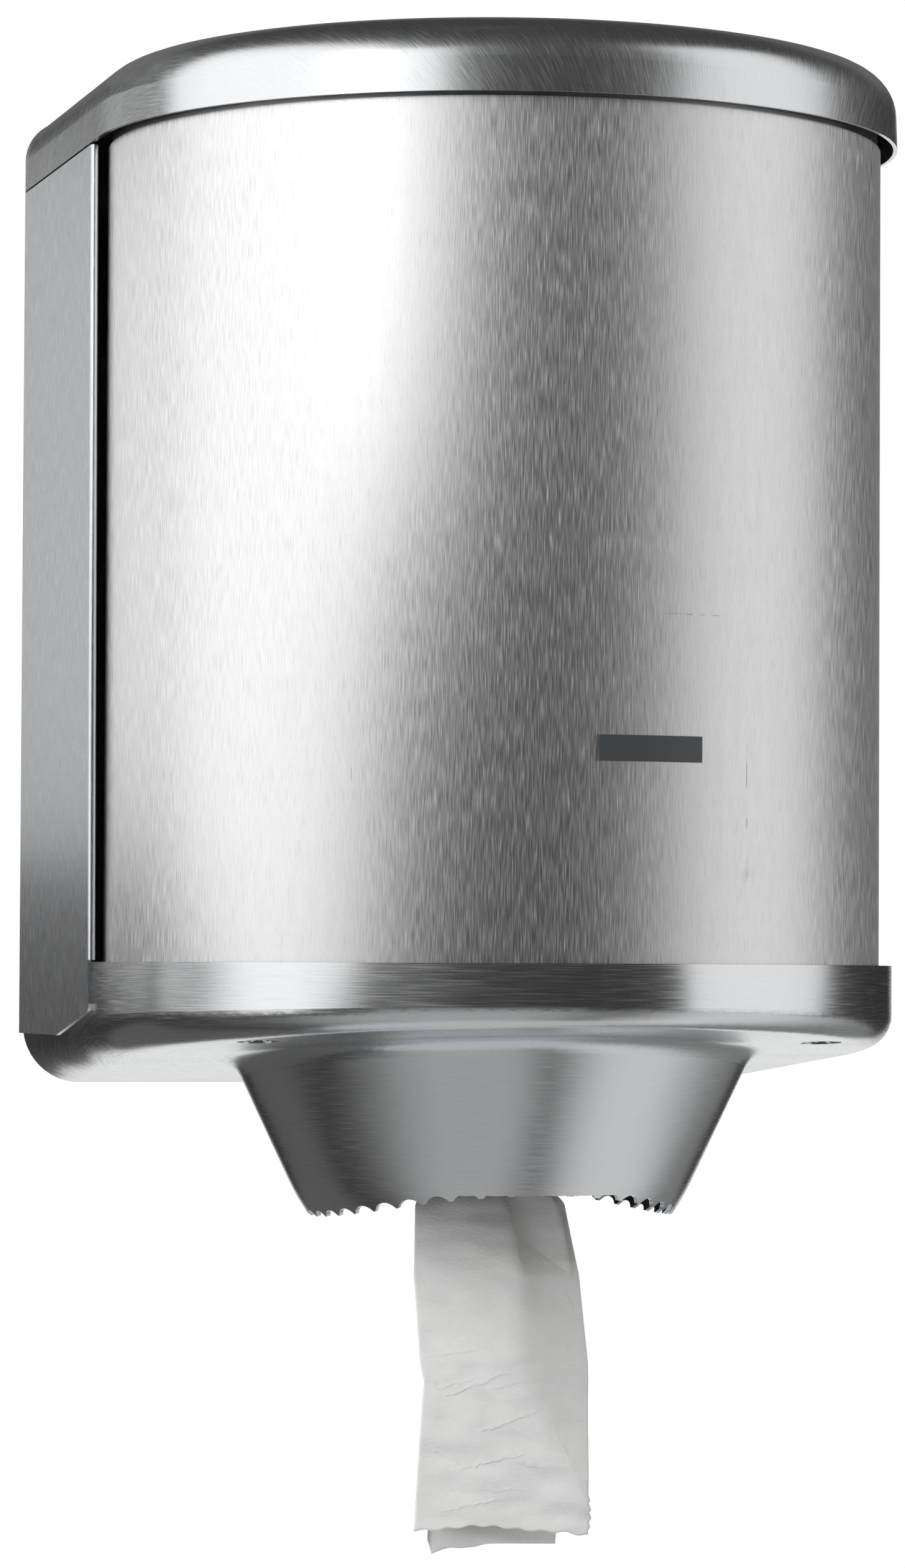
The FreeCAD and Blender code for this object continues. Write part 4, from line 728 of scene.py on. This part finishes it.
def brushed_steel(name, lie, colour, smooth, rough, spread, grain, contrast, relief, marks=(),
                  unevenness=0.0):
    """Steel brushed along lie. Its roughness runs from smooth, in the ground between the grooves, to rough,
    in the deepest ones, which look bright where the metal mirrors darkness. spread is the anisotropy, grain
    is the finer grooves' width and length, contrast how much their shade differs, relief their depth, and
    marks are darker signs of wear. unevenness is how far a drawn surface swells and sinks, in metres."""
    material, tree, shader = blank_material(name)
    across, along, direction = grooves(tree, lie)
    width, length = grain
    fine = streaks(tree, across, along, width, length)
    coarse = streaks(tree, across, along, width * COARSE_WIDER, length * COARSE_LONGER)
    drift = streaks(tree, across, along, width * DRIFT_WIDER, length * DRIFT_LONGER)
    both = plus(tree, times(tree, fine, FINE_SHARE), times(tree, coarse, COARSE_SHARE))
    drifting = maths(tree, "MULTIPLY_ADD", minus(tree, drift, 0.5), DRIFT_SHARE, both)
    depth = node(tree, "MapRange", {"Value": drifting, "From Min": GROUND, "From Max": DEEPEST}).outputs[0]
    worn = maths(tree, "MULTIPLY_ADD", times(tree, depth, depth), rough - smooth, smooth)
    tree.links.new(worn, shader.inputs["Roughness"])
    shade = maths(tree, "MULTIPLY_ADD", minus(tree, both, 0.5), contrast, 1.0)
    if marks:
        shade = minus(tree, shade, wear(tree, combine(tree, across, 0.0, along), marks))
    tree.links.new(scaled(tree, colour, shade), shader.inputs["Base Color"])
    swells = None
    if unevenness:
        swells = tilt(tree, noise(tree, object_place(tree), SWELLS_PER_METRE, 0.0), unevenness)
    tree.links.new(tilt(tree, both, relief, swells), shader.inputs["Normal"])
    tree.links.new(direction, shader.inputs["Tangent"])
    shader.inputs["Metallic"].default_value = 1.0
    shader.inputs["Anisotropic"].default_value = spread
    shader.inputs["Anisotropic Rotation"].default_value = 0.25
    return material


door_steel = brushed_steel("door_steel_brushed", "upright_round", (0.765, 0.765, 0.77), smooth=0.28,
                           rough=0.55, spread=0.85, grain=(0.0002, 0.0065), contrast=1.3, relief=0.000015,
                           marks=DOOR_MARKS)
flange_steel = brushed_steel("housing_steel_brushed", "upright_flat", (0.64, 0.65, 0.665), smooth=0.23,
                             rough=0.36, spread=0.85, grain=(0.0002, 0.006), contrast=0.5, relief=0.000015)
bowl_steel = brushed_steel("bowl_steel_brushed", "round", STEEL, smooth=0.23, rough=0.42, spread=0.3,
                           grain=(0.0003, 0.011), contrast=0.3, relief=0.000015, unevenness=0.0028)
cap_steel = brushed_steel("cap_steel_brushed", "drawn", STEEL, smooth=0.25, rough=0.46, spread=0.4,
                          grain=(0.00028, 0.008), contrast=0.4, relief=0.00002, unevenness=0.0008)
print("shader nodes in the door's steel:", len(door_steel.node_tree.nodes))

# %% [markdown]
# Inside, the sheet metal is left as it came from the mill: duller, with faint rolling lines. The fasteners
# are bright and a little worn, the lock is polished chrome. The nozzle, the glides and the seals are moulded,
# with the fine orange-peel grain that a mould leaves, and the plate on the door is painted a matt dark grey.
# All of these are noise at the grain's own size, in the roughness, in a faint tint and in the tilt.

# %% Make the finishes of the inner pieces
WIDE_SPOTS_PER_METRE = 45.0
# The mixed noise stays within a quarter of its middle, and this brings it to its full swing
TO_FULL_SWING = 4.0


def grainy(name, colour, roughness, grain, metal=0.0, tint_share=0.06, rough_share=0.25, relief=0.00002,
           stretch=(1.0, 1.0, 1.0)):
    """A finish whose tint, roughness and tilt follow noise with grains of size grain, longer by stretch."""
    material, tree, shader = blank_material(name)
    at = object_place(tree)
    squashed = node(tree, "VectorMath", {0: at, 1: tuple(1.0 / (grain * s) for s in stretch)},
                    operation="MULTIPLY").outputs[0]
    fine = noise(tree, squashed, 1.0, 2.0)
    wide = noise(tree, at, WIDE_SPOTS_PER_METRE, 3.0)
    off = minus(tree, plus(tree, times(tree, fine, 0.5), times(tree, wide, 0.5)), 0.5)
    shade = maths(tree, "MULTIPLY_ADD", off, TO_FULL_SWING * tint_share, 1.0)
    tree.links.new(scaled(tree, colour, shade), shader.inputs["Base Color"])
    tree.links.new(maths(tree, "MULTIPLY_ADD", off, TO_FULL_SWING * rough_share * roughness, roughness),
                   shader.inputs["Roughness"])
    tree.links.new(tilt(tree, fine, relief), shader.inputs["Normal"])
    shader.inputs["Metallic"].default_value = metal
    return material


inner_finishes = {
    "plain_steel": grainy("plain_steel_rolled", (0.45, 0.46, 0.47), 0.38, 0.0009, metal=1.0,
                          stretch=(12.0, 12.0, 1.0)),
    "fastener_steel": grainy("fastener_steel_bright", (0.62, 0.62, 0.61), 0.27, 0.0007, metal=1.0),
    "lock_chrome": grainy("lock_chrome_polished", (0.75, 0.75, 0.76), 0.12, 0.0012, metal=1.0,
                          tint_share=0.03, relief=0.000004),
    "nozzle_plastic": grainy("nozzle_plastic_moulded", (0.72, 0.72, 0.70), 0.48, 0.0006),
    "glide_plastic": grainy("glide_plastic_waxy", (0.83, 0.83, 0.80), 0.42, 0.0008),
    "seal_rubber": grainy("seal_rubber_matt", (0.045, 0.046, 0.048), 0.55, 0.0004, tint_share=0.15,
                          relief=0.00003),
    "plate_grey": grainy("plate_grey_painted", (0.066, 0.074, 0.082), 0.44, 0.0003, tint_share=0.04,
                         relief=0.00001)}
print("inner finishes:", len(inner_finishes))

# %% [markdown]
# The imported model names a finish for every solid. Each name leads to one of the finishes above.

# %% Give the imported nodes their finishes
by_slot = {"door_steel": door_steel, "housing_steel": flange_steel, "bowl_steel": bowl_steel,
           "cap_steel": cap_steel, **inner_finishes}
for name, piece in frame["nodes"].items():
    for place in piece.material_slots:
        key = place.material.name.split(".")[0] if place.material else ""
        place.material = by_slot.get(key, place.material)
print("nodes dressed:", len(frame["nodes"]))

# %% [markdown]
# The back plate's flanges end in a hem: the sheet is folded over itself round a small nose. In the photograph
# a wide dark gap lies between that nose and the door, because the nose leans back a few millimetres towards
# its top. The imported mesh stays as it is, so a copy of it is merged into one surface, its noses are set back,
# and the copy takes the plate's place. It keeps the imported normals, so that flat sheet shades flat.

# %% Set the flanges' noses back
FRONT_OF_FOLD = -0.1105
HEM_FOOT, HEM_TOP = -0.1194, 0.1214
BELOW_THE_HEM = 0.005
BACK_AT_FOOT, BACK_AT_TOP = 0.002, 0.006
MERGED_DECIMALS = 6


def read_all(rows, what, width, kind=float):
    """One property of every row of a mesh, as an array with width columns."""
    values = np.empty(len(rows) * width, kind)
    rows.foreach_get(what, values)
    return values.reshape(-1, width)


def merged_copy(mesh):
    """Points, faces and corner normals of a mesh of loose triangles, its meeting corners made one point."""
    places = read_all(mesh.vertices, "co", 3)
    _, first, merged = np.unique(np.round(places, MERGED_DECIMALS), axis=0, return_index=True,
                                 return_inverse=True)
    used = read_all(mesh.loops, "vertex_index", 1, np.int32).ravel()
    return places[first], merged.ravel()[used].reshape(-1, 3), read_all(mesh.corner_normals, "vector", 3)


corner, plate_faces, plate_normals = merged_copy(frame["nodes"]["back_plate"].data)
at_front = (corner[:, 1] < FRONT_OF_FOLD) & (corner[:, 2] > HEM_FOOT - BELOW_THE_HEM)
up_the_hem = (corner[at_front, 2] - HEM_FOOT) / (HEM_TOP - HEM_FOOT)
corner[at_front, 1] += BACK_AT_FOOT + (BACK_AT_TOP - BACK_AT_FOOT) * up_the_hem
plate = add_mesh("folded_back_plate", corner, plate_faces)
plate.data.normals_split_custom_set(plate_normals.tolist())
plate.data.materials.append(flange_steel)
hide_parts("back_plate")
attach(plate, "root")
print("points set back:", int(at_front.sum()), "of", len(corner))

# %% [markdown]
# The roll stands on its platform with its layers showing at both ends. A winding machine never lays them
# quite level, so the ends are slightly ribbed in bands of layers, and the outer end of the paper is a faint
# upright step. The roll is one closed surface: up the outside, in over the top, down the bore and out under
# the foot.

# %% Work out the roll's section
ROLL_RADIUS = 0.098
BORE_RADIUS = 0.030
ROLL_FOOT, ROLL_TOP = -0.1245, 0.0805
WALL_ROWS = 16
BANDS = 96
BAND_DEPTH = 0.00025
EDGE_ROUNDING, EDGE_SHARPNESS = 0.0012, 70.0


def wound_end(share):
    """How deep a point of a roll's end lies below its highest band, for a share of the way from bore to rim.
    Sines whose lengths don't fit each other keep the bands uneven."""
    return BAND_DEPTH * (2.2 + np.sin(151.0 * share) + 0.7 * np.sin(94.3 * share + 1.0)
                         + 0.5 * np.sin(37.0 * share))


def wall(radius, start, end):
    """Rows of the section from height start to height end, all at one radius."""
    return np.stack([np.full(WALL_ROWS, radius), start + (end - start) * np.linspace(0.0, 1.0, WALL_ROWS)],
                    axis=-1)


end_rows = np.linspace(0.0, 1.0, BANDS)
soft_edge = EDGE_ROUNDING * np.exp(-end_rows * EDGE_SHARPNESS)
# One profile round the section: radius and height, with a rounded edge where the outside meets an end
over_top = np.stack([ROLL_RADIUS - (ROLL_RADIUS - BORE_RADIUS) * end_rows,
                     ROLL_TOP - wound_end(1.0 - end_rows) - soft_edge - soft_edge[::-1]], axis=-1)
under_foot = np.stack([BORE_RADIUS + (ROLL_RADIUS - BORE_RADIUS) * end_rows,
                       ROLL_FOOT + wound_end(end_rows) + soft_edge + soft_edge[::-1]], axis=-1)
outside = wall(ROLL_RADIUS, under_foot[-1, 1], over_top[0, 1])
bore = wall(BORE_RADIUS, over_top[-1, 1], under_foot[0, 1])
profile = np.concatenate([outside, over_top[1:], bore[1:], under_foot[1:-1]])
print("points round the roll's section:", len(profile))

# %% [markdown]
# The spiral turns the closed rings into one winding: the radius falls by one layer over a full turn, which
# leaves the step where the outer end lies. The ends swell by a few tenths of a millimetre round the roll.

# %% Turn the section into the roll
ROLL_COLUMNS = 220
LAYER = 0.0005
SWELL = 0.0002
# How much wider the bore stands, and how deep under a wall the spiral reaches
BORE_SLACK = 0.0001
SKIN = 0.001
START_TURN = math.radians(152.0)

round_turn = np.linspace(0.0, 2.0 * np.pi, ROLL_COLUMNS, endpoint=False)[None, :]
section_radius, section_height = profile[:, 0][:, None], profile[:, 1][:, None]
outer_share = ease(section_radius, ROLL_RADIUS - SKIN, ROLL_RADIUS)
bore_share = 1.0 - ease(section_radius, BORE_RADIUS, BORE_RADIUS + SKIN)
layer_step = LAYER * (round_turn / (2.0 * np.pi))
wavy = SWELL * (1.0 + np.sin(3.0 * round_turn + 40.0 * section_height))
turn_radius = (section_radius - outer_share * (layer_step + wavy)
               + bore_share * (BORE_SLACK + 0.5 * layer_step))
swell = SWELL * (1.0 + np.sin(2.0 * round_turn + 120.0 * section_radius))
middle_height = 0.5 * (ROLL_FOOT + ROLL_TOP)
turn_height = section_height - np.sign(section_height - middle_height) * swell
roll_points = np.stack([turn_radius * np.sin(round_turn + START_TURN),
                        AXIS_Y - turn_radius * np.cos(round_turn + START_TURN),
                        turn_height + np.zeros_like(round_turn)], axis=-1)
roll_faces = grid_faces(len(profile), ROLL_COLUMNS, closed=True)
last_row = (len(profile) - 1) * ROLL_COLUMNS
column = np.arange(ROLL_COLUMNS)
next_column = (column + 1) % ROLL_COLUMNS
seam = np.stack([last_row + column, last_row + next_column, next_column, column], axis=-1)
roll = add_mesh("wound_roll", roll_points.reshape(-1, 3), np.concatenate([roll_faces, seam]))
print("roll's faces:", len(roll.data.polygons))

# %% [markdown]
# The paper is a warm off-white tissue. It was creped while it was made, so fine ridges run across the sheet,
# square to the pull, and light passes through it a little. On the roll the layers' edges show as fine rings.
# Both finishes start from one recipe: soft noise in the tint, and ridges as tilt. The hanging web is rumpled
# too, in soft waves that are longer across the pull, and has small creases where a hand held it.

# %% Finish the paper
PAPER = (0.955, 0.943, 0.918)
FIBRES_PER_METRE, CLOUDS_PER_METRE = 2600.0, 160.0
# The soft rumples: their squash, how many lie on a metre, and their height beside the ridges'
RUMPLE_SQUASH = (0.7, 1.0, 1.5)
RUMPLES_PER_METRE, RUMPLE_RISE = 75.0, 14.0
# Spacing of the ridges' noise on the sheet and on the roll, in metres and waves per radian
CREPE_ACROSS, CREPE_DOWN = 0.0016, 0.0007
RING_SPACING, SPOT_HEIGHT, SPOTS_ROUND = 0.0005, 0.003, 4.0
# Creases on the web: one end, other end (x, z) and how far each stands up, in metres
CREASES = ((-0.0208, -0.2358, -0.0065, -0.2335, 0.00016), (-0.0153, -0.2478, 0.0030, -0.2402, 0.00022),
           (-0.0172, -0.2452, -0.0010, -0.2408, 0.00012), (-0.0050, -0.2578, 0.0110, -0.2515, 0.00020),
           (-0.0030, -0.2452, 0.0068, -0.2430, 0.00012), (-0.0105, -0.2690, 0.0080, -0.2638, 0.00026),
           (-0.0178, -0.2630, -0.0105, -0.2672, 0.00016), (0.0050, -0.2660, 0.0112, -0.2680, 0.00018),
           (-0.0145, -0.2815, 0.0015, -0.2778, 0.00018), (-0.0070, -0.2752, 0.0100, -0.2748, 0.00012),
           (-0.0215, -0.2415, -0.0130, -0.2475, 0.00012), (0.0160, -0.2560, 0.0262, -0.2800, 0.00012),
           (0.0190, -0.2620, 0.0290, -0.2800, 0.00010), (0.0100, -0.2030, 0.0150, -0.2100, 0.00014),
           (0.0212, -0.2168, 0.0244, -0.2235, 0.00020), (-0.0180, -0.2238, 0.0010, -0.2205, 0.00008))
CREASE_WIDTH = 0.0005
CREASE_RISE = 1.1
# How far a crease strays from a straight line, in metres, and how often
UNREST, UNREST_PER_METRE = 0.0011, 420.0


def rumpled(tree, at, ridge_relief, creases):
    """The height of a rumpled web: soft noise, and creases that each waver a little."""
    squashed = node(tree, "VectorMath", {0: at, 1: RUMPLE_SQUASH}, operation="MULTIPLY").outputs[0]
    height = times(tree, noise(tree, squashed, RUMPLES_PER_METRE, 1.0), RUMPLE_RISE * ridge_relief)
    unrest = maths(tree, "MULTIPLY_ADD", noise(tree, at, UNREST_PER_METRE, 1.0), 2.0 * UNREST, -UNREST)
    for *ends, tall in creases:
        fold_line = drawn_line(tree, at, unrest, ends, CREASE_WIDTH)
        height = maths(tree, "MULTIPLY_ADD", fold_line, CREASE_RISE * tall, height)
    return height


def tissue(name, ridge_place, ridge_relief, fibre_relief, creases=()):
    """Soft matt paper. ridge_place(tree) gives the point at which the ridges' noise is read."""
    material, tree, shader = blank_material(name)
    at = object_place(tree)
    ridges = noise(tree, ridge_place(tree), 1.0, 2.0)
    fibres = noise(tree, at, FIBRES_PER_METRE, 2.0)
    cloud = noise(tree, at, CLOUDS_PER_METRE, 3.0)
    mixed = plus(tree, times(tree, cloud, 0.5), times(tree, ridges, 0.5))
    shade = node(tree, "MapRange", {"Value": mixed, "From Min": 0.3, "From Max": 0.7,
                                    "To Min": 0.955, "To Max": 1.035}).outputs[0]
    tree.links.new(scaled(tree, PAPER, shade), shader.inputs["Base Color"])
    folded = tilt(tree, rumpled(tree, at, ridge_relief, creases), 1.0) if creases else None
    ridged = tilt(tree, ridges, ridge_relief, folded)
    tree.links.new(tilt(tree, fibres, fibre_relief, ridged), shader.inputs["Normal"])
    shader.inputs["Roughness"].default_value = 0.85
    shader.inputs["Sheen Weight"].default_value = 0.15
    shader.inputs["Subsurface Weight"].default_value = 0.12
    shader.inputs["Subsurface Radius"].default_value = (0.0012, 0.0010, 0.0008)
    shader.inputs["Subsurface Scale"].default_value = 1.0
    return material


def crepe_place(tree):
    """Ridges 0.7 mm apart down the sheet and 1.6 mm long across it."""
    x, _, z = node(tree, "SeparateXYZ", {0: object_place(tree)}).outputs
    return combine(tree, over(tree, x, CREPE_ACROSS), 0.0, over(tree, z, CREPE_DOWN))


def layer_place(tree):
    """Rings 0.5 mm apart on the ends. On the outside they give way to faint spots 3 mm high."""
    _, _, z, radius, angle = spot(tree)
    return combine(tree, times(tree, angle, SPOTS_ROUND), over(tree, z, SPOT_HEIGHT),
                   over(tree, radius, RING_SPACING))


hung_paper = tissue("tissue_hung", crepe_place, 0.00015, 0.00004, CREASES)
wound_paper = tissue("tissue_wound", layer_place, 0.0002, 0.00003)
towel.data.materials.append(hung_paper)
roll.data.materials.append(wound_paper)
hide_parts("paper_tail")
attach(towel, "root")
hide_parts("paper_roll")
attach(roll, "root")
print("creases on the web:", len(CREASES))
